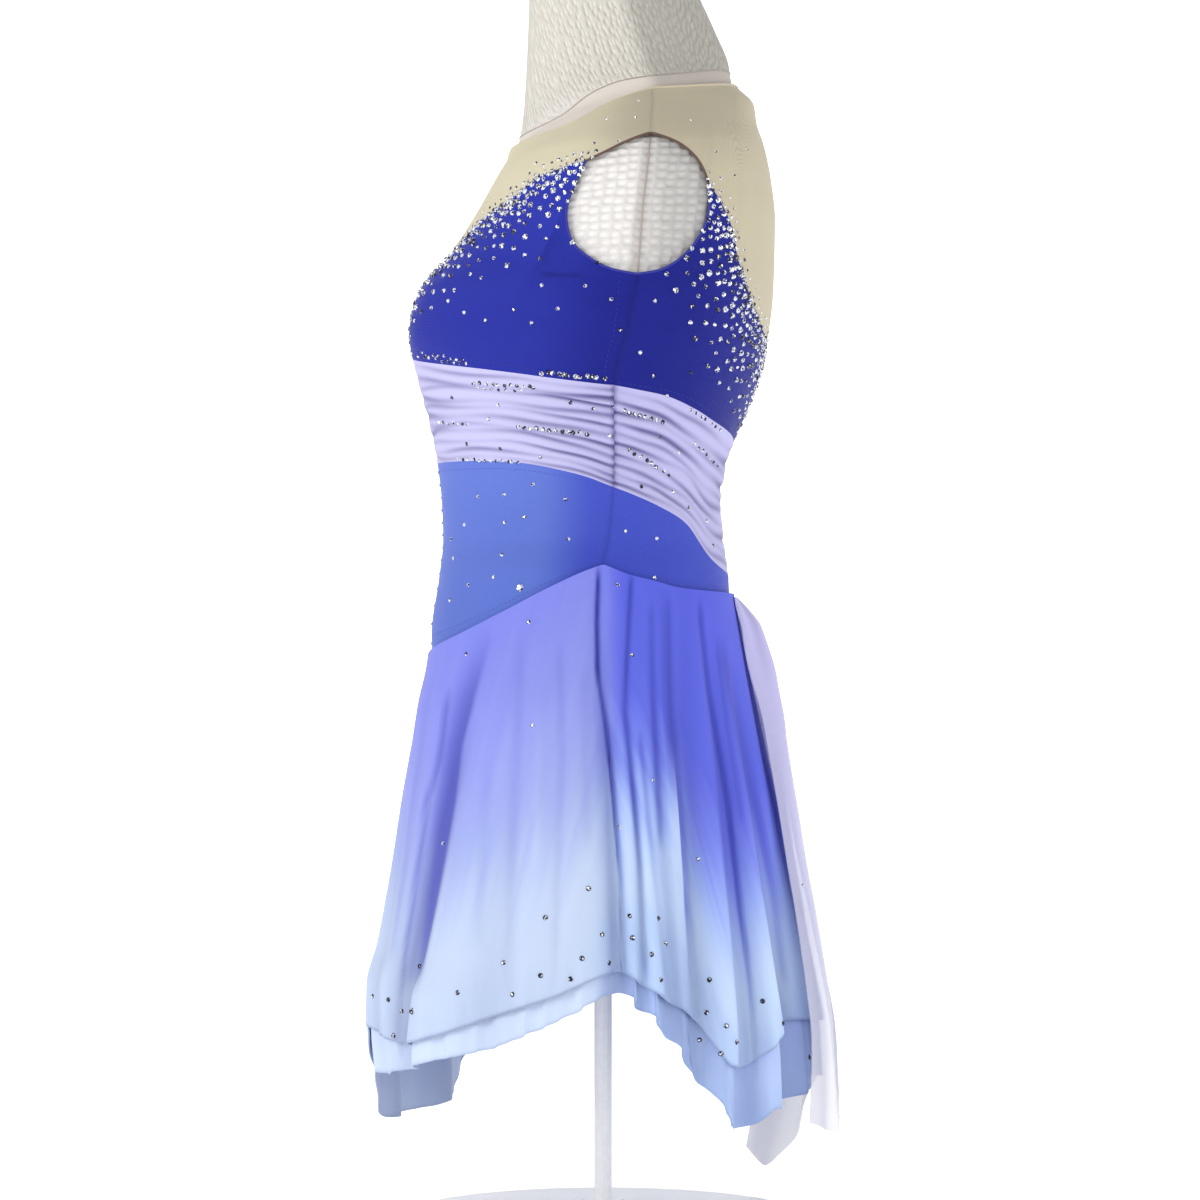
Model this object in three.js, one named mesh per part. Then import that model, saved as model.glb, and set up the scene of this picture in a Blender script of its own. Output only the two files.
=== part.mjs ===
// Figure skating dress on a limbless dress form with a two-rod counter stand.
// Millimetres, +Z up. The dress faces -Y and the wearer's left side is +X.
// The origin is on the counter, under the middle of the whole part.

import * as THREE from 'three';

// Cloth walls and the air between the layers
const FORM_INSET = 1.8; // from the cloth's own surface in to the form
const CLEARANCE = 0.4; // from that surface out to the cloth next to it
const JERSEY_WALL = 1.4; // bodice and basque
const NET_WALL = 1.2; // yoke, sash, skirts and tails
const BRIEFS_WALL = 1.0;
const SEAM_GAP = 0.3; // between two pieces that meet at a seam
const LEAST_SLANT = 0.3; // least sine of the angle at which a column meets an edge
const LAYER_GAP = 0.4; // between the skirt layers, where they are sewn into one seam
const BRIEFS_GAP = 1; // between the briefs and the under skirt at that seam
const SKIRT_LAYER_DROP = 4.2; // from the outside of one skirt layer to the next, away from the seam

// Bust cups that the darts shape into the front
const CUP = { depth: 13, sideX: 68, z: 628, halfWidth: 42, halfHeight: 34 };

// Form: the rounded foot under the thighs, the number of facets
const FOOT_ROUND = 46;
const FOOT_FLAT_SHARE = 0.62; // the flat underside, as a share of the thigh ring
const FORM_FACETS = 36;
const FINE_RINGS = { from: 9, to: 17 }; // half rings are added over the bust and the shoulders

// Stand
const ROD_RADIUS = 6;
const ROD_SIDE_X = 60;
const FLANGE_RADIUS = 15;
const FLANGE_HEIGHT = 3;
const BASE_RADIUS = 145;
const BASE_HEIGHT = 14;

// Pleats that are raised on the sash, over a plain inside
const SASH_PLEATS = 5;
const SASH_PLEAT_HEIGHT = 1.3;

// Rings of the form, from the thighs to the cut of the neck. Each ring is an oval, higher or lower
// at the front and back than at the side. The side point runs along the side and shoulder seams.
// name, frontY, frontZ, sideX, sideY, sideZ, backY, backZ, squareness
const RINGS = [
  ['thigh', -90, 322, 124, 0, 322, 78, 322, 2.3],
  ['hip', -112, 372, 136, 0, 372, 87, 372, 2.3],
  ['belly', -118, 420, 133, 0, 420, 87, 420, 2.25],
  ['high hip', -113, 458, 129, 0, 458, 86, 458, 2.2],
  ['low waist', -110, 487, 119, 4, 487, 82, 487, 2.2],
  ['waist', -111, 514, 115, 6, 514, 80, 514, 2.2],
  ['ribs', -114, 542, 119, 7, 542, 85, 542, 2.2],
  ['under bust', -118, 570, 127, 8, 570, 96, 570, 2.2],
  ['low bust', -122, 598, 137, 10, 598, 107, 598, 2.25],
  ['bust', -124.5, 627, 145, 18, 627, 113.5, 627, 2.3],
  ['high bust', -121, 655, 147, 22, 653, 117, 655, 2.35],
  ['armpit', -104.5, 682, 146, 24, 676, 118, 682, 2.4],
  ['chest', -88, 710, 147, 26, 703, 118.5, 708, 2.4],
  ['shoulder tip', -76, 732, 146, 29, 730, 116, 734, 2.3],
  ['shoulder edge', -70.5, 742, 138, 31, 751, 111.5, 758, 2.2],
  ['shoulder', -66, 750, 112, 32.5, 769.5, 106, 776, 2.1],
  ['neck foot', -64.5, 756, 82, 34, 785, 104, 790, 2.05],
  ['neckline', -61.5, 762, 64, 34, 796, 92.5, 803, 2],
  ['low neck', -57.5, 785, 58.5, 27, 814, 89.5, 820, 2],
  ['mid neck', -55, 825, 56, 18, 842, 79.5, 844, 2],
  ['neck cut', -53, 884, 55, 8, 884, 61, 884, 2],
];
const RING_COLUMN = {
  frontY: 1, frontZ: 2, sideX: 3, sideY: 4, sideZ: 5, backY: 6, backZ: 7, squareness: 8,
};

// Seams and edges as seen from the left side: y and z of each point, from the centre line to the
// side seam or the shoulder seam. A first point past the centre line is put on it.
const NECKLINE_FRONT = [[-70, 758.5], [-25, 766], [2, 781], [34, 794.5]];
const NECKLINE_BACK = [[110, 802.5], [72, 798.5], [54, 796], [34, 794.5]];
const BODICE_EDGE_FRONT = [[-140, 652], [-107, 678], [-84, 700], [-59, 716], [-42, 728], [-11, 737.5]];
const BODICE_EDGE_BACK = [[130, 613], [102, 640], [96, 655], [89, 675], [86, 692], [77, 712], [70, 722]];
const ARMHOLE_UPPER_FRONT = [[-11, 737.5], [2, 743.5], [15, 750], [32, 756.5]];
const ARMHOLE_LOWER_FRONT = [
  [-11, 737.5], [-19, 721], [-24, 703], [-21, 685], [-9, 672.5], [5, 665], [22.5, 661.5],
];
const ARMHOLE_UPPER_BACK = [[70, 722], [67, 731], [61, 740.5], [50, 749.5], [32, 756.5]];
const ARMHOLE_LOWER_BACK = [[70, 722], [70.5, 709], [67, 694], [57, 678], [40, 665], [22.5, 661.5]];
const SASH_TOP_FRONT = [[-140, 615], [-92, 602.5], [-56, 597], [-29, 593], [7.3, 588.5]];
const SASH_TOP_BACK = [[120, 553], [75, 566], [61, 574], [42, 582], [25, 585.5], [7.3, 588.5]];
const SASH_BOTTOM_FRONT = [[-130, 540], [-59, 538], [-29, 532.5], [-9, 527], [7.3, 520.5]];
const SASH_BOTTOM_BACK = [[110, 459], [72.5, 472], [55, 496], [38, 507], [20, 515.5], [7.3, 520.5]];
const SKIRT_SEAM_FRONT = [[-130, 404], [-92, 422], [-64, 436.5], [-43, 448], [-23, 458], [0, 466.5]];
const SKIRT_SEAM_BACK = [[110, 448], [47, 452.5], [33, 456.5], [15, 461], [0, 466.5]];

// Columns of the panels, counted from the centre line to the side seam
const EDGE_COLUMNS = 8; // along the bodice edge, up to the armhole
const UNDERARM_COLUMNS = 5; // along the armhole, from the bodice edge to the side seam
const OVERARM_COLUMNS = 4; // along the armhole, from the bodice edge to the shoulder seam
const EDGE_SHARE_WAIST = 0.66; // share of the sash edge that lies below the bodice edge
const EDGE_SHARE_NECK = 0.55; // share of the neckline that lies above the bodice edge

// Outside of the skirt at its fold crests: front and back on the centre line, and the side
// z, frontY, backY, sideX
const SKIRT_OUTLINE = [
  [30, -162, 161, 211],
  [110, -163, 158, 208],
  [150, -166, 155, 205],
  [178, -165.5, 150, 201],
  [206, -158, 144, 197],
  [234, -152.5, 138, 192],
  [262, -147.5, 131.5, 188],
  [304, -141, 122.5, 180],
  [346, -134, 113, 170],
  [374, -131.5, 107, 163],
  [400, -127, 102, 155],
  [430, -124, 97, 146],
  [475, -117, 90, 133],
];

// Troughs of the skirt folds, as angles round from the centre front by way of the left side.
// angle at the seam, angle at the hem, half width, depth at the hem, start as a share of the length
const SKIRT_FOLDS = [
  [12, 14, 5, 7, 0.35],
  [48, 29, 6, 16, 0.08],
  [68, 62, 7, 5, 0.4],
  [90, 94, 3.5, 15, 0],
  [99, 100.5, 2.2, 8, 0.2],
  [107, 108.5, 3.5, 12, 0.1],
  [120, 116, 4.5, 15, 0.05],
  [137, 131, 5, 17, 0.05],
  [153, 149, 5, 17, 0.12],
  [171, 168, 5, 14, 0.15],
  [202, 203, 5, 15, 0.15],
  [221, 223, 5.5, 16, 0.08],
  [238, 239, 5, 16, 0.05],
  [254, 253, 4.5, 14, 0.1],
  [270, 266, 3.5, 15, 0],
  [297, 298, 7, 9, 0.3],
  [320, 322, 6, 15, 0.12],
  [346, 348, 5, 9, 0.35],
];
const FOLD_COLUMN = { seamAngle: 0, hemAngle: 1, halfWidth: 2, depth: 3, start: 4 };
const PANEL_ANGLE = 12; // no skirt column is wider than this angle
const LEAST_CREST = 4; // a crest narrower than this angle has no column of its own
const SKIRT_ROWS = 7;

// Height of the two hems round the skirt: angle at the hem, outer hem z, under hem z. The front
// dips on the right and rises to both side seams, and the back dips on each side of the tails.
const HEMS = [
  [4, 149, 116],
  [14, 147, 118],
  [29, 144, 126],
  [47, 154, 138],
  [62, 168, 148],
  [78, 183, 166],
  [94, 200, 186],
  [101, 190, 173],
  [107, 181, 160],
  [116, 167, 130],
  [123, 137, 104],
  [131, 134, 93],
  [140, 150, 104],
  [149, 160, 106],
  [168, 155, 116],
  [185, 150, 112],
  [203, 158, 112],
  [223, 140, 104],
  [232, 134, 108],
  [239, 146, 124],
  [248, 172, 150],
  [257, 188, 168],
  [266, 202, 190],
  [282, 192, 176],
  [298, 166, 146],
  [308, 134, 112],
  [316, 106, 86],
  [330, 95, 76],
  [350, 96, 78],
  [357, 118, 84],
];

// Tails: angles round the waist and at the tip, half widths, height of the tip, how far it lies to
// one side, which side of it is the outer one, and the rise of the hem from the tip
const TAILS = [
  {
    name: 'tail_left',
    topAngle: 174,
    tipAngle: 163,
    topHalf: 7,
    tipHalf: 16,
    tipZ: 82,
    tipAside: -0.1,
    outerSide: -1,
    hemRise: 13,
  },
  {
    name: 'tail_right',
    topAngle: 188.6,
    tipAngle: 216,
    topHalf: 7,
    tipHalf: 16,
    tipZ: 28,
    tipAside: 0.6,
    outerSide: 1,
    hemRise: 44,
  },
];
const TAIL_TOP_Z = 446.5;
const TAIL_COLUMNS = 10;
const TAIL_ROWS = 9;
const TAIL_RIPPLE = 3.5;
const TAIL_LEAN = 0.12; // the outer edge's share of the stand-off, so that it lies near the skirt
const TAIL_SEAT = 0.7; // distance from the skirt at the seam that the tails are sewn into
const TAIL_CLEAR = 5; // least distance from the crests of the skirt below that
// How far the tails stand off the skirt: z, distance
const TAIL_STAND_OFF = [
  [30, 4], [100, 4], [122, 2], [165, 3.5], [206, 5], [262, 6.5], [300, 8.5], [346, 12.5], [375, 17],
  [400, 20.5], [425, 17], [439, 8], [446.5, 0.7],
];

// Briefs, sewn in at the skirt seam
const BRIEFS_CENTRE_Z = 378; // the point that the rows fan out from
const LEG_TOP_Z = 352; // top of the leg opening, at the side seam
const GUSSET_HALF = 27;
const BRIEFS_TOP_DROP = 1; // their top edge, below the seam line that the basque ends on
const BRIEFS_EASE = 4.2; // looseness away from the seam
const BRIEFS_COLUMNS = 8;
const BRIEFS_ROWS = 11;
const BRIEFS_SIDE_ROWS = 4; // rows from the seam to the top of the leg opening

const DEG = Math.PI / 180;
const HALF_TURN = Math.PI;
const QUARTER_TURN = Math.PI / 2;

const lerp = THREE.MathUtils.lerp;
const clamp = THREE.MathUtils.clamp;
const smooth = (value) => THREE.MathUtils.smoothstep(value, 0, 1);

// A smooth curve through the rows of a table that never overshoots them
function monotone(xs, ys) {
  const slopes = xs.slice(1).map((x, i) => (ys[i + 1] - ys[i]) / (x - xs[i]));
  const tangents = ys.map((y, i) => {
    if (i === 0 || i === ys.length - 1) return slopes[Math.min(i, slopes.length - 1)];
    const before = slopes[i - 1];
    const after = slopes[i];
    return before * after <= 0 ? 0 : (2 * before * after) / (before + after);
  });
  return (x) => {
    const last = xs.length - 2;
    let i = 0;
    while (i < last && x > xs[i + 1]) i += 1;
    const width = xs[i + 1] - xs[i];
    const u = clamp((x - xs[i]) / width, 0, 1);
    const keepStart = (1 + 2 * u) * (1 - u) ** 2;
    const keepEnd = u * u * (3 - 2 * u);
    const leave = u * (1 - u) ** 2 * width;
    const arrive = u * u * (u - 1) * width;
    return keepStart * ys[i] + keepEnd * ys[i + 1] + leave * tangents[i] + arrive * tangents[i + 1];
  };
}

const tableCurve = (table, column) => monotone(table.map((row) => row[0]), table.map((row) => row[column]));

// The same, round a full turn of angles in degrees
function roundCurve(table, column) {
  const turns = [-360, 0, 360];
  const angles = turns.flatMap((turn) => table.map((row) => row[0] + turn));
  const values = turns.flatMap(() => table.map((row) => row[column]));
  return monotone(angles, values);
}

const ringNumbers = RINGS.map((row, i) => i);
const ringCurve = Object.fromEntries(
  Object.entries(RING_COLUMN).map(([key, column]) => [
    key,
    monotone(ringNumbers, RINGS.map((row) => row[column])),
  ]),
);

// Point of the form at an angle round it and at a ring number, which may lie between two rings
function bodyPoint(angle, ring) {
  const power = 2 / ringCurve.squareness(ring);
  const ahead = Math.cos(angle);
  const aside = Math.sin(angle);
  const reach = Math.abs(ahead) ** power;
  const isFront = ahead > 0;
  const sideY = ringCurve.sideY(ring);
  const sideZ = ringCurve.sideZ(ring);
  const endY = isFront ? ringCurve.frontY(ring) : ringCurve.backY(ring);
  const endZ = isFront ? ringCurve.frontZ(ring) : ringCurve.backZ(ring);
  const x = ringCurve.sideX(ring) * Math.sign(aside) * Math.abs(aside) ** power;
  let y = sideY + (endY - sideY) * reach;
  const z = sideZ + (endZ - sideZ) * ahead * ahead;
  if (isFront) {
    const across = (Math.abs(x) - CUP.sideX) / CUP.halfWidth;
    const acrossFar = (Math.abs(x) + CUP.sideX) / CUP.halfWidth;
    const along = (z - CUP.z) / CUP.halfHeight;
    const rise = Math.exp(-(across ** 2) / 2) + Math.exp(-(acrossFar ** 2) / 2);
    y -= CUP.depth * rise * Math.exp(-(along ** 2) / 2) * smooth(ahead * 3);
  }
  return new THREE.Vector3(x, y, z);
}

const fromAxis = (point) => new THREE.Vector3(point.x, point.y, 0);

// Direction out of the form
function bodyNormal({ angle, ring }) {
  const step = 1e-3;
  const round = bodyPoint(angle + step, ring).sub(bodyPoint(angle - step, ring));
  const up = bodyPoint(angle, ring + step).sub(bodyPoint(angle, ring - step));
  const normal = round.cross(up).normalize();
  return normal.dot(fromAxis(bodyPoint(angle, ring))) < 0 ? normal.negate() : normal;
}

function bisect(test, low, high) {
  let a = low;
  let b = high;
  for (let i = 0; i < 40; i += 1) {
    const middle = (a + b) / 2;
    if (test(middle)) b = middle;
    else a = middle;
  }
  return (a + b) / 2;
}

const ringAtHeight = (angle, z) => bisect((ring) => bodyPoint(angle, ring).z > z, 0, RINGS.length - 1);

// Angle and ring number of the point that the left side view shows at y, z
function onBody([y, z]) {
  const angle = bisect((a) => bodyPoint(a, ringAtHeight(a, z)).y > y, 0, HALF_TURN);
  return { angle, ring: ringAtHeight(angle, z) };
}

// Scales that make an angle and a ring number measure about the same as the cloth does
const CURVE_SCALE = { angle: 130, ring: 27 };

// A curve on the form through the points of a table, read at a share of its length
function seam(points) {
  const places = points.map(onBody);
  const curve = new THREE.CatmullRomCurve3(
    places.map(({ angle, ring }) => new THREE.Vector3(angle * CURVE_SCALE.angle, ring * CURVE_SCALE.ring, 0)),
    false,
    'centripetal',
  );
  return (share) => {
    const point = curve.getPointAt(clamp(share, 0, 1));
    return { angle: point.x / CURVE_SCALE.angle, ring: point.y / CURVE_SCALE.ring };
  };
}

// Places along one curve, then along another one that starts where it ends
function alongBoth(first, firstColumns, second, secondColumns) {
  const places = [];
  for (let i = 0; i <= firstColumns; i += 1) places.push(first(i / firstColumns));
  for (let i = 1; i <= secondColumns; i += 1) places.push(second(i / secondColumns));
  return places;
}

// Places along one curve, with a share of it under the first columns and the rest under the others
function alongShared(curve, firstColumns, otherColumns, firstShare) {
  const places = [];
  for (let i = 0; i <= firstColumns; i += 1) places.push(curve((i / firstColumns) * firstShare));
  for (let i = 1; i <= otherColumns; i += 1) places.push(curve(lerp(firstShare, 1, i / otherColumns)));
  return places;
}

// A grid of places between a lower and an upper row, mirrored about the centre line
function mirroredGrid(lower, upper, rows) {
  const half = lower.map((low, i) => {
    const column = [];
    for (let row = 0; row <= rows; row += 1) {
      const share = row / rows;
      column.push({
        angle: lerp(low.angle, upper[i].angle, share),
        ring: lerp(low.ring, upper[i].ring, share),
      });
    }
    return column;
  });
  const other = half.slice(1).reverse();
  return [...other.map((column) => column.map(({ angle, ring }) => ({ angle: -angle, ring }))), ...half];
}

// Directions out of a grid of points, from its neighbours
function gridNormals(grid, outward) {
  return grid.map((column, i) => column.map((point, j) => {
    const left = grid[Math.max(i - 1, 0)][j];
    const right = grid[Math.min(i + 1, grid.length - 1)][j];
    const below = column[Math.max(j - 1, 0)];
    const above = column[Math.min(j + 1, column.length - 1)];
    const normal = new THREE.Vector3().subVectors(right, left);
    normal.cross(new THREE.Vector3().subVectors(above, below)).normalize();
    if (normal.dot(outward(point)) < 0) normal.negate();
    return normal;
  }));
}

// Draws the four edges of a grid in by half a seam gap, measured square to each edge
function drawIn(grid, distance) {
  const lastColumn = grid.length - 1;
  const lastRow = grid[0].length - 1;
  const moved = grid.map((column) => column.map((point) => point.clone()));
  const draw = (i, j, inI, inJ) => {
    const inward = new THREE.Vector3().subVectors(grid[i + inI][j + inJ], grid[i][j]).normalize();
    const before = grid[Math.max(i - Math.abs(inJ), 0)][Math.max(j - Math.abs(inI), 0)];
    const after = grid[Math.min(i + Math.abs(inJ), lastColumn)][Math.min(j + Math.abs(inI), lastRow)];
    const edge = new THREE.Vector3().subVectors(after, before).normalize();
    const slant = Math.max(new THREE.Vector3().crossVectors(inward, edge).length(), LEAST_SLANT);
    moved[i][j].addScaledVector(inward, distance / slant);
  };
  for (let i = 0; i <= lastColumn; i += 1) {
    draw(i, 0, 0, 1);
    draw(i, lastRow, 0, -1);
  }
  for (let j = 0; j <= lastRow; j += 1) {
    draw(0, j, 1, 0);
    draw(lastColumn, j, -1, 0);
  }
  return moved;
}

// Grid moved out along its normals by a distance, which may change over the grid
function movedOut(grid, normals, distance) {
  return grid.map((column, i) => column.map((point, j) => {
    const amount = typeof distance === 'function' ? distance(i, j) : distance;
    return point.clone().addScaledVector(normals[i][j], amount);
  }));
}

// Closed wall between an inner and an outer grid of the same size
function wallGeometry(inner, outer) {
  const columns = inner.length;
  const rows = inner[0].length;
  const positions = [];
  for (const grid of [inner, outer]) {
    for (const column of grid) {
      for (const point of column) positions.push(point.x, point.y, point.z);
    }
  }
  const at = (side, i, j) => side * columns * rows + i * rows + j;
  const indices = [];
  const quad = (a, b, c, d) => indices.push(a, b, c, a, c, d);
  for (let i = 0; i < columns - 1; i += 1) {
    for (let j = 0; j < rows - 1; j += 1) {
      quad(at(1, i, j), at(1, i + 1, j), at(1, i + 1, j + 1), at(1, i, j + 1));
      quad(at(0, i, j), at(0, i, j + 1), at(0, i + 1, j + 1), at(0, i + 1, j));
    }
  }
  for (let i = 0; i < columns - 1; i += 1) {
    quad(at(0, i, 0), at(0, i + 1, 0), at(1, i + 1, 0), at(1, i, 0));
    quad(at(0, i, rows - 1), at(1, i, rows - 1), at(1, i + 1, rows - 1), at(0, i + 1, rows - 1));
  }
  for (let j = 0; j < rows - 1; j += 1) {
    quad(at(0, 0, j), at(1, 0, j), at(1, 0, j + 1), at(0, 0, j + 1));
    quad(at(0, columns - 1, j), at(0, columns - 1, j + 1), at(1, columns - 1, j + 1), at(1, columns - 1, j));
  }
  return solidGeometry(positions, indices);
}

// Six times the volume inside the triangles, negative where they face inwards
function signedVolume(positions, indices) {
  const corner = (index) => new THREE.Vector3().fromArray(positions, index * 3);
  let volume = 0;
  for (let i = 0; i < indices.length; i += 3) {
    const [a, b, c] = [corner(indices[i]), corner(indices[i + 1]), corner(indices[i + 2])];
    volume += a.dot(b.cross(c));
  }
  return volume;
}

function solidGeometry(positions, indices) {
  if (signedVolume(positions, indices) < 0) indices.reverse();
  const geometry = new THREE.BufferGeometry();
  geometry.setAttribute('position', new THREE.Float32BufferAttribute(positions, 3));
  geometry.setIndex(indices);
  geometry.computeVertexNormals();
  return geometry;
}

// Cloth panel that lies on the form between two rows of places
function panelGeometry(lower, upper, rows, wall, relief = () => 0) {
  const places = mirroredGrid(lower, upper, rows);
  const points = places.map((column) => column.map(({ angle, ring }) => bodyPoint(angle, ring)));
  const grid = drawIn(points, SEAM_GAP / 2);
  const normals = places.map((column) => column.map(bodyNormal));
  const inner = movedOut(grid, normals, CLEARANCE);
  const outer = movedOut(grid, normals, (i, j) => CLEARANCE + wall + relief(j / rows));
  return wallGeometry(inner, outer);
}

const seams = {
  necklineFront: seam(NECKLINE_FRONT),
  necklineBack: seam(NECKLINE_BACK),
  bodiceEdgeFront: seam(BODICE_EDGE_FRONT),
  bodiceEdgeBack: seam(BODICE_EDGE_BACK),
  armholeUpperFront: seam(ARMHOLE_UPPER_FRONT),
  armholeLowerFront: seam(ARMHOLE_LOWER_FRONT),
  armholeUpperBack: seam(ARMHOLE_UPPER_BACK),
  armholeLowerBack: seam(ARMHOLE_LOWER_BACK),
  sashTopFront: seam(SASH_TOP_FRONT),
  sashTopBack: seam(SASH_TOP_BACK),
  sashBottomFront: seam(SASH_BOTTOM_FRONT),
  sashBottomBack: seam(SASH_BOTTOM_BACK),
  skirtFront: seam(SKIRT_SEAM_FRONT),
  skirtBack: seam(SKIRT_SEAM_BACK),
};

const waistPlaces = (curve) => alongShared(curve, EDGE_COLUMNS, UNDERARM_COLUMNS, EDGE_SHARE_WAIST);
const neckPlaces = (curve) => alongShared(curve, EDGE_COLUMNS, OVERARM_COLUMNS, EDGE_SHARE_NECK);
const underarmPlaces = (edge, armhole) => alongBoth(edge, EDGE_COLUMNS, armhole, UNDERARM_COLUMNS);
const overarmPlaces = (edge, armhole) => alongBoth(edge, EDGE_COLUMNS, armhole, OVERARM_COLUMNS);

// Rounded pleats across the sash, flat at both of its edges
const sashPleats = (share) => SASH_PLEAT_HEIGHT * Math.sin(share * SASH_PLEATS * Math.PI) ** 2;

const skirtFrontY = tableCurve(SKIRT_OUTLINE, 1);
const skirtBackY = tableCurve(SKIRT_OUTLINE, 2);
const skirtSideX = tableCurve(SKIRT_OUTLINE, 3);
const outerHem = roundCurve(HEMS, 1);
const underHem = roundCurve(HEMS, 2);
const SKIRT_SQUARENESS = 2.1;

// Point on the outline of the skirt at its crests
function skirtOutline(angle, z) {
  const power = 2 / SKIRT_SQUARENESS;
  const ahead = Math.cos(angle);
  const aside = Math.sin(angle);
  const endY = ahead > 0 ? skirtFrontY(z) : skirtBackY(z);
  return new THREE.Vector3(
    skirtSideX(z) * Math.sign(aside) * Math.abs(aside) ** power,
    endY * Math.abs(ahead) ** power,
    z,
  );
}

// Direction straight out of the outline, level
function skirtOut(angle, z) {
  const step = 0.5 * DEG;
  const along = skirtOutline(angle + step, z).sub(skirtOutline(angle - step, z));
  return new THREE.Vector3(-along.y, along.x, 0).normalize().multiplyScalar(-1);
}

// Depth of the folds below the crests, at an angle in degrees and a share of the length
function foldDepth(degrees, share) {
  let depth = 0;
  for (const fold of SKIRT_FOLDS) {
    const middle = lerp(fold[FOLD_COLUMN.seamAngle], fold[FOLD_COLUMN.hemAngle], share);
    const away = ((degrees - middle + 540) % 360) - 180;
    const start = fold[FOLD_COLUMN.start];
    const grown = clamp((share - start) / (1 - start), 0, 1) ** 0.8;
    depth += fold[FOLD_COLUMN.depth] * grown * Math.exp(-((away / fold[FOLD_COLUMN.halfWidth]) ** 2));
  }
  return depth;
}

// Place on the skirt seam at an angle round the waist
function skirtSeamPlace(angle) {
  const folded = Math.abs(Math.atan2(Math.sin(angle), Math.cos(angle)));
  const curve = folded < QUARTER_TURN ? seams.skirtFront : seams.skirtBack;
  const isFront = folded < QUARTER_TURN;
  const share = bisect((s) => (isFront ? curve(s).angle > folded : curve(s).angle < folded), 0, 1);
  return { angle, ring: curve(share).ring };
}

// Columns of a skirt panel, as angles at the seam and the hem: on each trough, beside it, on the
// crest between two troughs, and more across wide stretches
function skirtColumns(fromFold, toFold) {
  const columns = [];
  const edge = (fold, side) => [
    fold[FOLD_COLUMN.seamAngle] + side * fold[FOLD_COLUMN.halfWidth],
    fold[FOLD_COLUMN.hemAngle] + side * fold[FOLD_COLUMN.halfWidth],
  ];
  for (let i = fromFold; i < toFold; i += 1) {
    const turn = 360 * Math.floor(i / SKIRT_FOLDS.length);
    const nextTurn = 360 * Math.floor((i + 1) / SKIRT_FOLDS.length);
    const fold = SKIRT_FOLDS[i % SKIRT_FOLDS.length];
    const next = SKIRT_FOLDS[(i + 1) % SKIRT_FOLDS.length];
    const start = edge(fold, 0).map((angle) => angle + turn);
    const leave = edge(fold, 1).map((angle) => angle + turn);
    const arrive = edge(next, -1).map((angle) => angle + nextTurn);
    const span = arrive[1] - leave[1];
    const parts = span < LEAST_CREST ? 1 : Math.max(2, Math.ceil(span / PANEL_ANGLE));
    columns.push(start, leave);
    for (let k = 1; k < parts; k += 1) {
      columns.push([lerp(leave[0], arrive[0], k / parts), lerp(leave[1], arrive[1], k / parts)]);
    }
    columns.push(arrive);
  }
  const last = SKIRT_FOLDS[toFold % SKIRT_FOLDS.length];
  const lastTurn = 360 * Math.floor(toFold / SKIRT_FOLDS.length);
  columns.push(edge(last, 0).map((angle) => angle + lastTurn));
  return columns;
}

const LEFT_SEAM_FOLD = SKIRT_FOLDS.findIndex((fold) => fold[FOLD_COLUMN.seamAngle] === 90);
const RIGHT_SEAM_FOLD = SKIRT_FOLDS.findIndex((fold) => fold[FOLD_COLUMN.seamAngle] === 270);

// Outside of the outer skirt, row by row down to its hem and then to the hem of the layer
function skirtGrid(columns, hem) {
  return columns.map(([seamDegrees, hemDegrees]) => {
    const place = skirtSeamPlace(seamDegrees * DEG);
    const top = bodyPoint(place.angle, place.ring).addScaledVector(bodyNormal(place), SKIRT_OUT);
    const length = top.z - outerHem(hemDegrees);
    const heights = [];
    for (let row = 0; row <= SKIRT_ROWS; row += 1) heights.push(top.z - (length * row) / SKIRT_ROWS);
    if (hem(hemDegrees) < heights[SKIRT_ROWS] - 1) heights.push(hem(hemDegrees));
    const start = skirtOutline(seamDegrees * DEG, top.z);
    return heights.reverse().map((z) => {
      const share = (top.z - z) / length;
      const degrees = lerp(seamDegrees, hemDegrees, share);
      const angle = degrees * DEG;
      const point = skirtOutline(angle, z).addScaledVector(skirtOut(angle, z), -foldDepth(degrees, share));
      const pull = 1 - smooth(share / 0.3);
      point.x += (top.x - start.x) * pull;
      point.y += (top.y - start.y) * pull;
      return point;
    });
  });
}

// Skirt layer: outDrop and seamDrop are how far its outside lies in from the grid, away from the
// seam and at it
function skirtGeometry(columns, hem, seamDrop, outDrop) {
  const grid = drawIn(skirtGrid(columns, hem), SEAM_GAP);
  const normals = gridNormals(grid, fromAxis);
  const lastRow = grid[0].length - 1;
  const drop = (j) => lerp(seamDrop, outDrop, smooth((2 * (lastRow - j)) / lastRow));
  const inner = movedOut(grid, normals, (i, j) => -drop(j) - NET_WALL);
  const outer = movedOut(grid, normals, (i, j) => -drop(j));
  return wallGeometry(inner, outer);
}

const BRIEFS_OUT = CLEARANCE + BRIEFS_WALL;
const UNDER_DROP = NET_WALL + LAYER_GAP;
const SKIRT_OUT = BRIEFS_OUT + BRIEFS_GAP + NET_WALL + UNDER_DROP;

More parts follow.
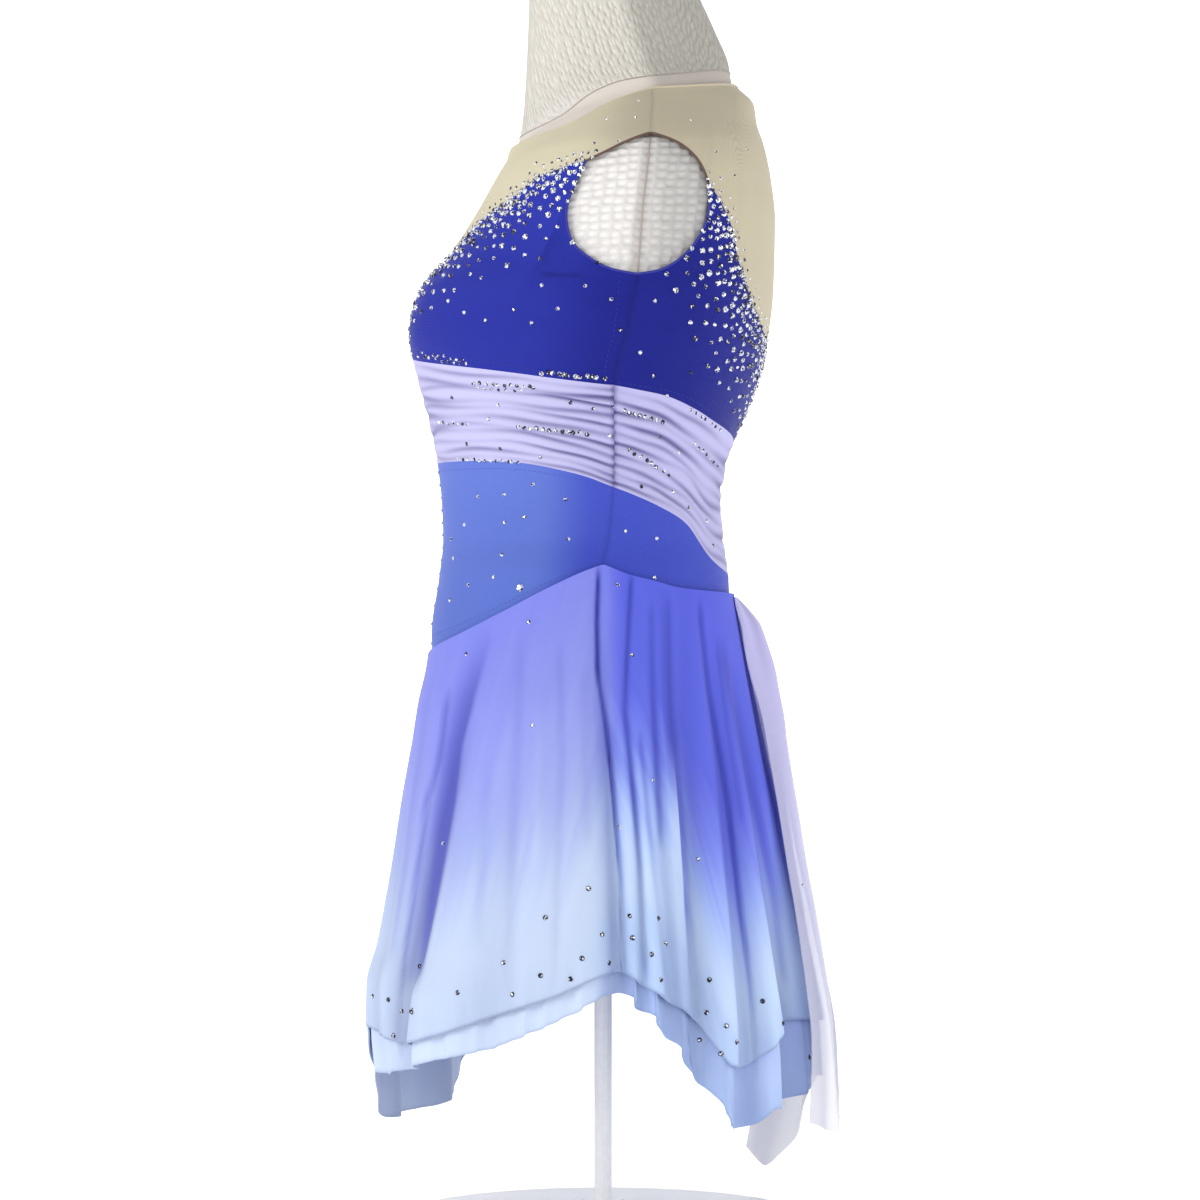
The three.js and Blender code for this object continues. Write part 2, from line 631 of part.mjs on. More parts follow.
// Tail that hangs from the sash over the back of the skirt
function tailGeometry(tail) {
  const standOff = tableCurve(TAIL_STAND_OFF, 1);
  const face = (extra) => {
    const grid = [];
    for (let i = 0; i <= TAIL_COLUMNS; i += 1) {
      const across = (2 * i) / TAIL_COLUMNS - 1;
      const hemZ = tail.tipZ + tail.hemRise * Math.abs(across - tail.tipAside) ** 1.4;
      const column = [];
      for (let row = 0; row <= TAIL_ROWS; row += 1) {
        const share = 1 - row / TAIL_ROWS;
        const middle = lerp(tail.topAngle, tail.tipAngle, share);
        const half = lerp(tail.topHalf, tail.tipHalf, share);
        const angle = (middle + across * half) * DEG;
        const z = lerp(TAIL_TOP_Z, hemZ, share);
        const ripple = TAIL_RIPPLE * Math.cos(across * 1.5 * Math.PI) * smooth(share * 2);
        const place = { angle, ring: ringAtHeight(angle, z) };
        const onSkirt = skirtOutline(angle, z);
        const onForm = bodyPoint(angle, place.ring).addScaledVector(bodyNormal(place), SKIRT_OUT);
        const base = onForm.lerp(onSkirt, smooth(share * 4));
        base.z = z;
        const lean = lerp(TAIL_LEAN, 1, smooth(1 - tail.outerSide * across));
        const least = lerp(TAIL_SEAT, TAIL_CLEAR, smooth(share * 14));
        const out = Math.max(standOff(z) * lean + ripple, least);
        column.push(base.addScaledVector(skirtOut(angle, z), out + extra));
      }
      grid.push(column);
    }
    return grid;
  };
  return wallGeometry(face(0), face(NET_WALL));
}

// Share of the way out to the form's surface, 1 on it, for a point below the waist
function formReach(point) {
  const thighZ = RINGS[0][RING_COLUMN.sideZ];
  const ring = point.z < thighZ ? 0 : ringAtHeight(QUARTER_TURN, point.z);
  const deep = clamp((thighZ - point.z) / FOOT_ROUND, 0, 1);
  if (point.z < thighZ - FOOT_ROUND) return Infinity;
  const scale = lerp(FOOT_FLAT_SHARE, 1, Math.sqrt(1 - deep * deep));
  const power = ringCurve.squareness(ring);
  const sideY = ringCurve.sideY(ring);
  const endY = point.y < sideY ? ringCurve.frontY(ring) : ringCurve.backY(ring);
  const across = Math.abs(point.x / ringCurve.sideX(ring)) ** power;
  const along = Math.abs((point.y - sideY) / (endY - sideY)) ** power;
  return (across + along) ** (1 / power) / scale;
}

// Briefs panel: rows fan out from the seam, past the top of the leg opening, to the gusset
function briefsGeometry(sign) {
  const centre = new THREE.Vector3(0, 0, BRIEFS_CENTRE_Z);
  const toSurface = (direction) => {
    const distance = bisect((d) => formReach(centre.clone().addScaledVector(direction, d)) > 1, 0, 260);
    return centre.clone().addScaledVector(direction, distance);
  };
  const sidePoint = bodyPoint(QUARTER_TURN, ringAtHeight(QUARTER_TURN, LEG_TOP_Z));
  const legTop = sidePoint.clone().sub(centre).normalize();
  const underside = RINGS[0][RING_COLUMN.sideZ] - FOOT_ROUND;
  const gussetEdge = new THREE.Vector3(GUSSET_HALF, 0, underside - BRIEFS_CENTRE_Z).normalize();
  const legMiddle = new THREE.Vector3(0.62, sign * 0.42, -0.5).normalize();
  const rows = [];
  const seamAngles = [];
  for (let i = 0; i <= BRIEFS_COLUMNS; i += 1) {
    const quarter = (i / BRIEFS_COLUMNS) * QUARTER_TURN;
    seamAngles.push(sign < 0 ? quarter : HALF_TURN - quarter);
  }
  const seamPoints = seamAngles.map((angle) => {
    const place = skirtSeamPlace(angle);
    const top = bodyPoint(place.angle, place.ring).z - BRIEFS_TOP_DROP;
    return bodyPoint(place.angle, ringAtHeight(place.angle, top));
  });
  for (let row = 0; row <= BRIEFS_ROWS; row += 1) {
    const share = row / BRIEFS_ROWS;
    const legShare = clamp((row - BRIEFS_SIDE_ROWS) / (BRIEFS_ROWS - BRIEFS_SIDE_ROWS), 0, 1);
    const topCentre = seamPoints[0].clone().sub(centre).normalize();
    const topSide = seamPoints[BRIEFS_COLUMNS].clone().sub(centre).normalize();
    const edge = legShare > 0
      ? bezier(legTop, legMiddle, gussetEdge, legShare)
      : topSide.clone().lerp(legTop, row / BRIEFS_SIDE_ROWS).normalize();
    const middle = arc(topCentre, new THREE.Vector3(0, 0, -1), share);
    rows.push(seamPoints.map((point, i) => {
      const across = i / BRIEFS_COLUMNS;
      if (row === 0) return point.clone();
      const fanned = arc(middle, edge, across);
      const level = point.clone().sub(centre).normalize();
      return toSurface(level.lerp(fanned, smooth((share * BRIEFS_ROWS) / BRIEFS_SIDE_ROWS)).normalize());
    }));
  }
  const half = seamPoints.map((point, i) => rows.map((row) => row[i]).reverse());
  const other = half.slice(1).reverse();
  const mirror = (point) => new THREE.Vector3(-point.x, point.y, point.z);
  const mirrored = other.map((column) => column.map(mirror));
  const grid = drawIn([...mirrored, ...half], SEAM_GAP);
  const normals = gridNormals(grid, (point) => point.clone().sub(centre));
  const ease = (j) => BRIEFS_EASE * smooth((2 * (BRIEFS_ROWS - j)) / BRIEFS_ROWS);
  const inner = movedOut(grid, normals, (i, j) => CLEARANCE + ease(j));
  const outer = movedOut(grid, normals, (i, j) => BRIEFS_OUT + ease(j));
  return wallGeometry(inner, outer);
}

// Direction part of the way from one direction to another, along the shortest arc
function arc(from, to, share) {
  const angle = from.angleTo(to);
  if (angle < 1e-6) return from.clone();
  const start = Math.sin((1 - share) * angle) / Math.sin(angle);
  const end = Math.sin(share * angle) / Math.sin(angle);
  return from.clone().multiplyScalar(start).addScaledVector(to, end).normalize();
}

function bezier(start, middle, end, share) {
  return start.clone().multiplyScalar((1 - share) ** 2)
    .addScaledVector(middle, 2 * share * (1 - share))
    .addScaledVector(end, share * share)
    .normalize();
}

// Form: rings joined from the flat underside to the cut of the neck
function formGeometry() {
  const loops = [];
  const loopOf = (ring, scale, z) => {
    const loop = [];
    for (let i = 0; i < FORM_FACETS; i += 1) {
      const place = { angle: (i / FORM_FACETS) * 2 * Math.PI, ring };
      const point = bodyPoint(place.angle, ring).addScaledVector(bodyNormal(place), -FORM_INSET);
      loop.push(new THREE.Vector3(point.x * scale, point.y * scale, z ?? point.z));
    }
    return loop;
  };
  const thighZ = RINGS[0][RING_COLUMN.sideZ];
  const footSteps = 5;
  for (let i = 0; i < footSteps; i += 1) {
    const tilt = QUARTER_TURN * (1 - i / footSteps);
    loops.push(loopOf(0, lerp(FOOT_FLAT_SHARE, 1, Math.cos(tilt)), thighZ - FOOT_ROUND * Math.sin(tilt)));
  }
  const lastRing = RINGS.length - 1;
  for (let ring = 0; ring < lastRing; ring += 1) {
    loops.push(loopOf(ring, 1));
    if (ring >= FINE_RINGS.from && ring < FINE_RINGS.to) loops.push(loopOf(ring + 0.5, 1));
  }
  loops.push(loopOf(lastRing, 1, RINGS[lastRing][RING_COLUMN.sideZ]));
  const positions = loops.flatMap((loop) => loop.flatMap((point) => point.toArray()));
  const under = positions.length / 3;
  positions.push(0, 0, thighZ - FOOT_ROUND);
  const cut = bodyPoint(0, lastRing).add(bodyPoint(HALF_TURN, lastRing)).multiplyScalar(0.5);
  positions.push(...cut.toArray());
  const indices = [];
  for (let i = 0; i < FORM_FACETS; i += 1) {
    const next = (i + 1) % FORM_FACETS;
    for (let j = 0; j < loops.length - 1; j += 1) {
      const low = j * FORM_FACETS;
      const high = low + FORM_FACETS;
      indices.push(low + i, low + next, high + next, low + i, high + next, high + i);
    }
    const top = (loops.length - 1) * FORM_FACETS;
    indices.push(under, next, i, under + 1, top + i, top + next);
  }
  return solidGeometry(positions, indices);
}

// Solid of revolution from radius and height pairs that start and end on the axis
function turned(profile, facets) {
  const lathe = new THREE.LatheGeometry(profile.map(([radius, z]) => new THREE.Vector2(radius, z)), facets);
  lathe.rotateX(QUARTER_TURN);
  return lathe;
}

function rodGeometry() {
  const foot = BASE_HEIGHT + SEAM_GAP;
  const head = RINGS[0][RING_COLUMN.sideZ] - FOOT_ROUND - SEAM_GAP;
  return turned([
    [0, foot],
    [FLANGE_RADIUS, foot],
    [FLANGE_RADIUS, foot + FLANGE_HEIGHT],
    [ROD_RADIUS, foot + FLANGE_HEIGHT],
    [ROD_RADIUS, head - FLANGE_HEIGHT],
    [FLANGE_RADIUS, head - FLANGE_HEIGHT],
    [FLANGE_RADIUS, head],
    [0, head],
  ], 12);
}

function baseGeometry() {
  const edgeRound = 3;
  return turned([
    [0, 0],
    [BASE_RADIUS - 1, 0],
    [BASE_RADIUS, 1],
    [BASE_RADIUS, BASE_HEIGHT - edgeRound],
    [BASE_RADIUS - edgeRound, BASE_HEIGHT],
    [0, BASE_HEIGHT],
  ], 48);
}

const cloth = (color, roughness) => new THREE.MeshStandardMaterial({
  color, roughness, metalness: 0, side: THREE.DoubleSide,
});
const paint = (color) => new THREE.MeshStandardMaterial({ color, roughness: 0.35, metalness: 0 });

const group = new THREE.Group();

function add(name, geometry, material, x = 0) {
  const mesh = new THREE.Mesh(geometry, material);
  mesh.name = name;
  mesh.position.x = x;
  group.add(mesh);
}

function addYokes() {
  const rows = 7;
  const front = overarmPlaces(seams.bodiceEdgeFront, seams.armholeUpperFront);
  const back = overarmPlaces(seams.bodiceEdgeBack, seams.armholeUpperBack);
  const frontNeck = neckPlaces(seams.necklineFront);
  const backNeck = neckPlaces(seams.necklineBack);
  add('yoke_front', panelGeometry(front, frontNeck, rows, NET_WALL), cloth(0xdfd0b4, 0.7));
  add('yoke_back', panelGeometry(back, backNeck, rows, NET_WALL), cloth(0xd3c4a8, 0.7));
}

function addBodice() {
  const rows = 6;
  const front = underarmPlaces(seams.bodiceEdgeFront, seams.armholeLowerFront);
  const back = underarmPlaces(seams.bodiceEdgeBack, seams.armholeLowerBack);
  const frontWaist = waistPlaces(seams.sashTopFront);
  const backWaist = waistPlaces(seams.sashTopBack);
  add('bodice_front', panelGeometry(frontWaist, front, rows, JERSEY_WALL), cloth(0x2a2fa8, 0.45));
  add('bodice_back', panelGeometry(backWaist, back, rows, JERSEY_WALL), cloth(0x282d9f, 0.45));
}

function addSash() {
  const rows = 2 * SASH_PLEATS;
  const parts = [
    ['sash_front', seams.sashBottomFront, seams.sashTopFront],
    ['sash_back', seams.sashBottomBack, seams.sashTopBack],
  ];
  for (const [name, low, high] of parts) {
    const geometry = panelGeometry(waistPlaces(low), waistPlaces(high), rows, NET_WALL, sashPleats);
    add(name, geometry, cloth(0xc3bbee, 0.6));
  }
}

function addBasque() {
  const rows = 4;
  const parts = [
    ['basque_front', seams.skirtFront, seams.sashBottomFront],
    ['basque_back', seams.skirtBack, seams.sashBottomBack],
  ];
  for (const [name, low, high] of parts) {
    const geometry = panelGeometry(waistPlaces(low), waistPlaces(high), rows, JERSEY_WALL);
    add(name, geometry, cloth(0x5b70d8, 0.45));
  }
}

function addSkirts() {
  const panels = [
    ['front', skirtColumns(RIGHT_SEAM_FOLD, LEFT_SEAM_FOLD + SKIRT_FOLDS.length)],
    ['back', skirtColumns(LEFT_SEAM_FOLD, RIGHT_SEAM_FOLD)],
  ];
  for (const [side, columns] of panels) {
    const outer = skirtGeometry(columns, outerHem, 0, 0);
    const under = skirtGeometry(columns, underHem, UNDER_DROP, SKIRT_LAYER_DROP);
    add(`skirt_${side}`, outer, cloth(0x9aa6ee, 0.55));
    add(`underskirt_${side}`, under, cloth(0xb9cdf4, 0.55));
  }
}

function addTails() {
  for (const tail of TAILS) add(tail.name, tailGeometry(tail), cloth(0xd6d2ee, 0.6));
}

function addBriefs() {
  add('briefs_front', briefsGeometry(-1), cloth(0x5b70d8, 0.45));
  add('briefs_back', briefsGeometry(1), cloth(0x5b70d8, 0.45));
}

function addFormAndStand() {
  add('form_torso', formGeometry(), paint(0xe8e4e0));
  add('stand_rod_left', rodGeometry(), paint(0xf4f4f4), ROD_SIDE_X);
  add('stand_rod_right', rodGeometry(), paint(0xf4f4f4), -ROD_SIDE_X);
  add('stand_base', baseGeometry(), paint(0xf4f4f4));
}

addYokes();
addBodice();
addSash();
addBasque();
addSkirts();
addTails();
addBriefs();
addFormAndStand();

export default group;
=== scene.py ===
"""Looks of a sleeveless figure skating dress on a limbless dress form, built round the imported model."""

import logging
import math
from dataclasses import dataclass, field
from enum import Enum
from typing import Callable, Sequence

import bmesh
import bpy
import numpy as np
from mathutils import Matrix


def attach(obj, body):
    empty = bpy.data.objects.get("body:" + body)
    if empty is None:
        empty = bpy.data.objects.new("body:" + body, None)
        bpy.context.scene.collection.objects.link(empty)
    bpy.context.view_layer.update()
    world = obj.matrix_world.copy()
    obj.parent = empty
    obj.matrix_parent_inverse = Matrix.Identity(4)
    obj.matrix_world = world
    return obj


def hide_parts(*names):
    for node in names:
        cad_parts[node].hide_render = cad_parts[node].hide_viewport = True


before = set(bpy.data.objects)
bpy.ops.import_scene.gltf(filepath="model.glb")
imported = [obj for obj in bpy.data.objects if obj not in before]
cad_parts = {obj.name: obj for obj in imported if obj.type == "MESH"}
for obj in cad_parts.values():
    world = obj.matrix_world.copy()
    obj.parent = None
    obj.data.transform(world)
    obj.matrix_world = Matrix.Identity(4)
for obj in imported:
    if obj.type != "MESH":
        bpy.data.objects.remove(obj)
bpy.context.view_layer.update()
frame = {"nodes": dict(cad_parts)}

log = logging.getLogger("dress")

Array = np.ndarray
Tint = tuple[float, float, float]
Dye = tuple[tuple[float, Tint], ...]
Table = tuple[tuple[float, ...], ...]
Relief = Callable[[Array, Array, Array], tuple[Array, Array]]

MM = 0.001
WHITE = (1.0, 1.0, 1.0, 1.0)
BODY = "root"

# The photograph's view: millimetres a pixel on the middle plane, its middle, the camera's distance
PIXEL_MM = 0.7
PIXEL_MIDDLE = 600.0
MIDDLE_Y = -2.1
MIDDLE_Z = 444.5
CAMERA_MM = 3000.0
FRAME_MM = 840.0
SENSOR_MM = 36.0
# The angle round the figure past which the skirts take their back dye, with its painted shade, and the form's
# cover is painted darker as shade
SIDE_LIGHT_ANGLE = 84.0


def srgb(red: float, green: float, blue: float) -> tuple[float, float, float, float]:
    """Turns a screen colour into a linear one.

    Args:
        red: red from 0 to 255.
        green: green from 0 to 255.
        blue: blue from 0 to 255.

    Returns:
        The linear colour with an alpha of 1.
    """

    def linear(value: float) -> float:
        """Linear value of one channel."""
        share = value / 255
        return share / 12.92 if share <= 0.04045 else ((share + 0.055) / 1.055) ** 2.4

    return (linear(red), linear(green), linear(blue), 1.0)


def smooth(value: Array | float) -> Array:
    """Smooth step from 0 to 1 over the same range."""
    held = np.clip(value, 0, 1)
    return held * held * (3 - 2 * held)


def unit(vectors: Array) -> Array:
    """Vectors with a length of 1."""
    return vectors / np.maximum(np.linalg.norm(vectors, axis=-1, keepdims=True), 1e-9)


def halved(is_past: Callable[[Array], Array], shape: tuple[int, ...], end: float) -> Array:
    """Searches by halves between 0 and an end for the values at which a test turns true.

    Args:
        is_past: the test.
        shape: shape of the array of values.
        end: the upper end.

    Returns:
        The values.
    """
    low, high = np.zeros(shape), np.full(shape, end)
    for _ in range(40):
        middle = (low + high) / 2
        past = is_past(middle)
        low, high = np.where(past, low, middle), np.where(past, middle, high)
    return (low + high) / 2


class Monotone:
    """A smooth curve through the rows of a table that never overshoots them."""

    def __init__(self, xs: Sequence[float], ys: Sequence[float]) -> None:
        """Keeps the table and works out the slope at each row.

        Args:
            xs: rising places of the rows.
            ys: values of the rows.
        """
        self.xs = np.array(xs, float)
        self.ys = np.array(ys, float)
        slopes = np.diff(self.ys) / np.diff(self.xs)
        before, after = slopes[:-1], slopes[1:]
        total = np.where(before + after == 0, 1, before + after)
        inner = np.where(before * after <= 0, 0, 2 * before * after / total)
        self.tangents = np.concatenate([slopes[:1], inner, slopes[-1:]])

    def __call__(self, x: Array | float) -> Array:
        """Values of the curve at x, held at both ends.

        Args:
            x: places to read.

        Returns:
            The values there.
        """
        x = np.asarray(x, float)
        i = np.clip(np.searchsorted(self.xs[1:], x, side="left"), 0, len(self.xs) - 2)
        width = self.xs[i + 1] - self.xs[i]
        u = np.clip((x - self.xs[i]) / width, 0, 1)
        keep_end = u * u * (3 - 2 * u)
        value = (1 - keep_end) * self.ys[i] + keep_end * self.ys[i + 1]
        value = value + u * (1 - u) ** 2 * width * self.tangents[i]
        return value + u * u * (u - 1) * width * self.tangents[i + 1]


def curve(table: Sequence[Sequence[float]], column: int = 1) -> Monotone:
    """Smooth curve through a column of a table, over its first column."""
    return Monotone([row[0] for row in table], [row[column] for row in table])


def round_curve(table: Sequence[Sequence[float]], column: int) -> Monotone:
    """Smooth curve through a column of a table round a full turn in degrees."""
    return curve([(row[0] + turn, row[column]) for turn in (-360, 0, 360) for row in table])


def bell(away: Array, half_width: float) -> Array:
    """1 in the middle, which fades out on both sides."""
    return np.exp(-((away / half_width) ** 2))


def turned_out(vectors: Array, rough: Array) -> Array:
    """Vectors on the side that rough ones give, of which the first two or all three numbers count."""
    inward = (vectors[..., : rough.shape[-1]] * rough).sum(-1) < 0
    return np.where(inward[..., None], -vectors, vectors)


@dataclass
class WornShape:
    """The rounded shape that the cloth lies on, as ovals from the thighs to the cut of the neck, in mm."""

    # front y, front z, side x, side y, side z, back y, back z, squareness
    rings: Table = (
        (-90, 322, 124, 0, 322, 78, 322, 2.3), (-112, 372, 136, 0, 372, 87, 372, 2.3),
        (-118, 420, 133, 0, 420, 87, 420, 2.25), (-113, 458, 129, 0, 458, 86, 458, 2.2),
        (-110, 487, 119, 4, 487, 82, 487, 2.2), (-111, 514, 115, 6, 514, 80, 514, 2.2),
        (-114, 542, 119, 7, 542, 85, 542, 2.2), (-118, 570, 127, 8, 570, 96, 570, 2.2),
        (-122, 598, 137, 10, 598, 107, 598, 2.25), (-124.5, 627, 145, 18, 627, 113.5, 627, 2.3),
        (-121, 655, 147, 22, 653, 117, 655, 2.35), (-104.5, 682, 146, 24, 676, 118, 682, 2.4),
        (-88, 710, 147, 26, 703, 118.5, 708, 2.4), (-76, 732, 146, 29, 730, 116, 734, 2.3),
        (-70.5, 742, 138, 31, 751, 111.5, 758, 2.2), (-66, 750, 112, 32.5, 769.5, 106, 776, 2.1),
        (-64.5, 756, 82, 34, 785, 104, 790, 2.05), (-61.5, 762, 64, 34, 796, 92.5, 803, 2),
        (-57.5, 785, 58.5, 27, 814, 89.5, 820, 2), (-55, 825, 56, 18, 842, 79.5, 844, 2),
        (-53, 884, 55, 8, 884, 61, 884, 2),
    )
    cup_depth: float = 13
    cup_side_x: float = 68
    cup_z: float = 628
    cup_half_width: float = 42
    cup_half_height: float = 34

    def __post_init__(self) -> None:
        """Makes one smooth curve for each column of the table."""
        numbers = range(len(self.rings))
        self.curves = [Monotone(numbers, column) for column in zip(*self.rings)]

    def point(self, angle: Array, ring: Array) -> Array:
        """Points at angles round the shape and at ring numbers.

        Args:
            angle: angles from the centre front by way of the left side, in radians.
            ring: ring numbers, which may lie between two rings.

        Returns:
            The points, with x, y and z last.
        """
        angle, ring = np.broadcast_arrays(np.asarray(angle, float), np.asarray(ring, float))
        front_y, front_z, side_x, side_y, side_z, back_y, back_z, square = (c(ring) for c in self.curves)
        ahead, aside = np.cos(angle), np.sin(angle)
        is_front = ahead > 0
        end_y = np.where(is_front, front_y, back_y)
        end_z = np.where(is_front, front_z, back_z)
        x = side_x * np.sign(aside) * np.abs(aside) ** (2 / square)
        y = side_y + (end_y - side_y) * np.abs(ahead) ** (2 / square)
        z = side_z + (end_z - side_z) * ahead * ahead
        sides = [(np.abs(x) + side * self.cup_side_x) / self.cup_half_width for side in (-1, 1)]
        along = (z - self.cup_z) / self.cup_half_height
        rise = np.exp(-(sides[0] ** 2) / 2) + np.exp(-(sides[1] ** 2) / 2)
        cup = self.cup_depth * rise * np.exp(-(along**2) / 2) * smooth(ahead * 3)
        return np.stack([x, np.where(is_front, y - cup, y), z], -1)

    def normal(self, angle: Array, ring: Array) -> Array:
        """Directions out of the shape at the same places."""
        step = 1e-3
        turn = self.point(angle + step, ring) - self.point(angle - step, ring)
        rise = self.point(angle, ring + step) - self.point(angle, ring - step)
        out = unit(np.cross(turn, rise))
        return turned_out(out, self.point(angle, ring)[..., :2])

    def ring_at_height(self, angle: Array, z: Array) -> Array:
        """Ring numbers at which the shape reaches a height.

        Args:
            angle: angles round the shape.
            z: heights.

        Returns:
            The ring numbers.
        """
        angle, z = np.broadcast_arrays(np.asarray(angle, float), np.asarray(z, float))
        return halved(lambda ring: self.point(angle, ring)[..., 2] > z, angle.shape, len(self.rings) - 1.0)

    def place(self, y: Array, z: Array) -> tuple[Array, Array]:
        """Angles and ring numbers of the points that the left side view shows at y, z.

        Args:
            y: places towards the back.
            z: heights.

        Returns:
            The angles and the ring numbers.
        """
        y, z = np.broadcast_arrays(np.asarray(y, float), np.asarray(z, float))

        def behind(angle: Array) -> Array:
            """Whether the shape at an angle and at that height lies further back."""
            return self.point(angle, self.ring_at_height(angle, z))[..., 1] > y

        angle = halved(behind, y.shape, math.pi)
        return angle, self.ring_at_height(angle, z)


class Seam:
    """A smooth line on the worn shape through points of the left side view, read by its length."""

    ANGLE_MM = 130.0
    RING_MM = 27.0
    DIVISIONS = 200

    def __init__(self, shape: WornShape, points: Sequence[tuple[float, float]]) -> None:
        """Lays the line.

        Args:
            shape: the worn shape.
            points: y and z of each point, from the centre line to the side or shoulder seam.
        """
        table = np.array(points, float)
        angle, ring = shape.place(table[:, 0], table[:, 1])
        self.knots = np.stack([angle * self.ANGLE_MM, ring * self.RING_MM], -1)
        self.shares = np.linspace(0, 1, self.DIVISIONS + 1)
        self.line = self._read(self.shares)
        steps = np.linalg.norm(np.diff(self.line, axis=0), axis=1)
        self.lengths = np.concatenate([[0], np.cumsum(steps)])

    def _read(self, t: Array) -> Array:
        """Points of the centripetal curve through the knots at shares of their count."""
        knots = self.knots
        first = 2 * knots[0] - knots[1]
        last = 2 * knots[-1] - knots[-2]
        all_knots = np.concatenate([[first], knots, [last]])
        place = np.clip(t, 0, 1) * (len(knots) - 1)
        i = np.minimum(place.astype(int), len(knots) - 2)
        u = (place - i)[:, None]
        a, b, c, d = (all_knots[i + k] for k in range(4))
        pairs = ((a, b), (b, c), (c, d))
        gaps = [np.maximum(np.linalg.norm(q - p, axis=1), 1e-6)[:, None] ** 0.5 for p, q in pairs]
        leave = (b - a) / gaps[0] - (c - a) / (gaps[0] + gaps[1]) + (c - b) / gaps[1]
        arrive = (c - b) / gaps[1] - (d - b) / (gaps[1] + gaps[2]) + (d - c) / gaps[2]
        leave, arrive = leave * gaps[1], arrive * gaps[1]
        square = -3 * b + 3 * c - 2 * leave - arrive
        cube = 2 * b - 2 * c + leave + arrive
        return b + leave * u + square * u**2 + cube * u**3

    def __call__(self, share: Array) -> Array:
        """Angles and ring numbers at shares of the line's length.

        Args:
            share: shares from 0 to 1.

        Returns:
            An array with the angle and the ring number last.
        """
        t = np.interp(np.clip(share, 0, 1) * self.lengths[-1], self.lengths, self.shares)
        return self._read(np.asarray(t, float)) / (self.ANGLE_MM, self.RING_MM)


@dataclass
class Pattern:
    """The seams and edges of the dress, and how the pieces are laid between them."""

    shape: WornShape
    fineness: int = 6
    edge_columns: int = 8
    underarm_columns: int = 5
    overarm_columns: int = 4
    edge_share_waist: float = 0.66
    edge_share_neck: float = 0.55

    def __post_init__(self) -> None:
        """Lays all the seams."""
        lines = {
            "neck_front": [(-70, 758.5), (-25, 766), (2, 781), (34, 794.5)],
            "neck_back": [(110, 802.5), (72, 798.5), (54, 796), (34, 794.5)],
            "edge_front": [(-140, 652), (-107, 678), (-84, 700), (-59, 716), (-42, 728), (-11, 737.5)],
            "edge_back": [(130, 613), (102, 640), (96, 655), (89, 675), (86, 692), (77, 712), (70, 722)],
            "over_front": [(-11, 737.5), (2, 743.5), (15, 750), (32, 756.5)],
            "under_front": [
                (-11, 737.5), (-19, 721), (-24, 703), (-21, 685), (-9, 672.5), (5, 665), (22.5, 661.5),
            ],
            "over_back": [(70, 722), (67, 731), (61, 740.5), (50, 749.5), (32, 756.5)],
            "under_back": [(70, 722), (70.5, 709), (67, 694), (57, 678), (40, 665), (22.5, 661.5)],
            "sash_top_front": [(-140, 615), (-92, 602.5), (-56, 597), (-29, 593), (7.3, 588.5)],
            "sash_top_back": [(120, 553), (75, 566), (61, 574), (42, 582), (25, 585.5), (7.3, 588.5)],
            "sash_low_front": [(-130, 540), (-59, 538), (-29, 532.5), (-9, 527), (7.3, 520.5)],
            "sash_low_back": [(110, 459), (72.5, 472), (55, 496), (38, 507), (20, 515.5), (7.3, 520.5)],
            "skirt_front": [(-130, 404), (-92, 422), (-64, 436.5), (-43, 448), (-23, 458), (0, 466.5)],
            "skirt_back": [(110, 448), (47, 452.5), (33, 456.5), (15, 461), (0, 466.5)],
        }
        self.seams = {name: Seam(self.shape, points) for name, points in lines.items()}

    def _shares(self, arm_columns: int, share: float) -> Array:
        """Shares of a seam's length below or above the bodice edge, and then at the armhole."""
        edge, arm = self.edge_columns * self.fineness, arm_columns * self.fineness
        beside_arm = share + (1 - share) * np.arange(1, arm + 1) / arm
        return np.concatenate([np.arange(edge + 1) / edge * share, beside_arm])

    def to_waist(self, name: str) -> Array:
        """Places along a seam below the bodice edge and then below the armhole."""
        return self.seams[name](self._shares(self.underarm_columns, self.edge_share_waist))

    def to_neck(self, name: str) -> Array:
        """Places along the neckline above the bodice edge and then above the armhole."""
        return self.seams[name](self._shares(self.overarm_columns, self.edge_share_neck))

    def along_arm(self, edge_name: str, arm_name: str, arm_columns: int) -> Array:
        """Places along the bodice edge and then along the armhole."""
        edge, arm = self.edge_columns * self.fineness, arm_columns * self.fineness
        first = self.seams[edge_name](np.arange(edge + 1) / edge)
        second = self.seams[arm_name](np.arange(1, arm + 1) / arm)
        return np.concatenate([first, second])


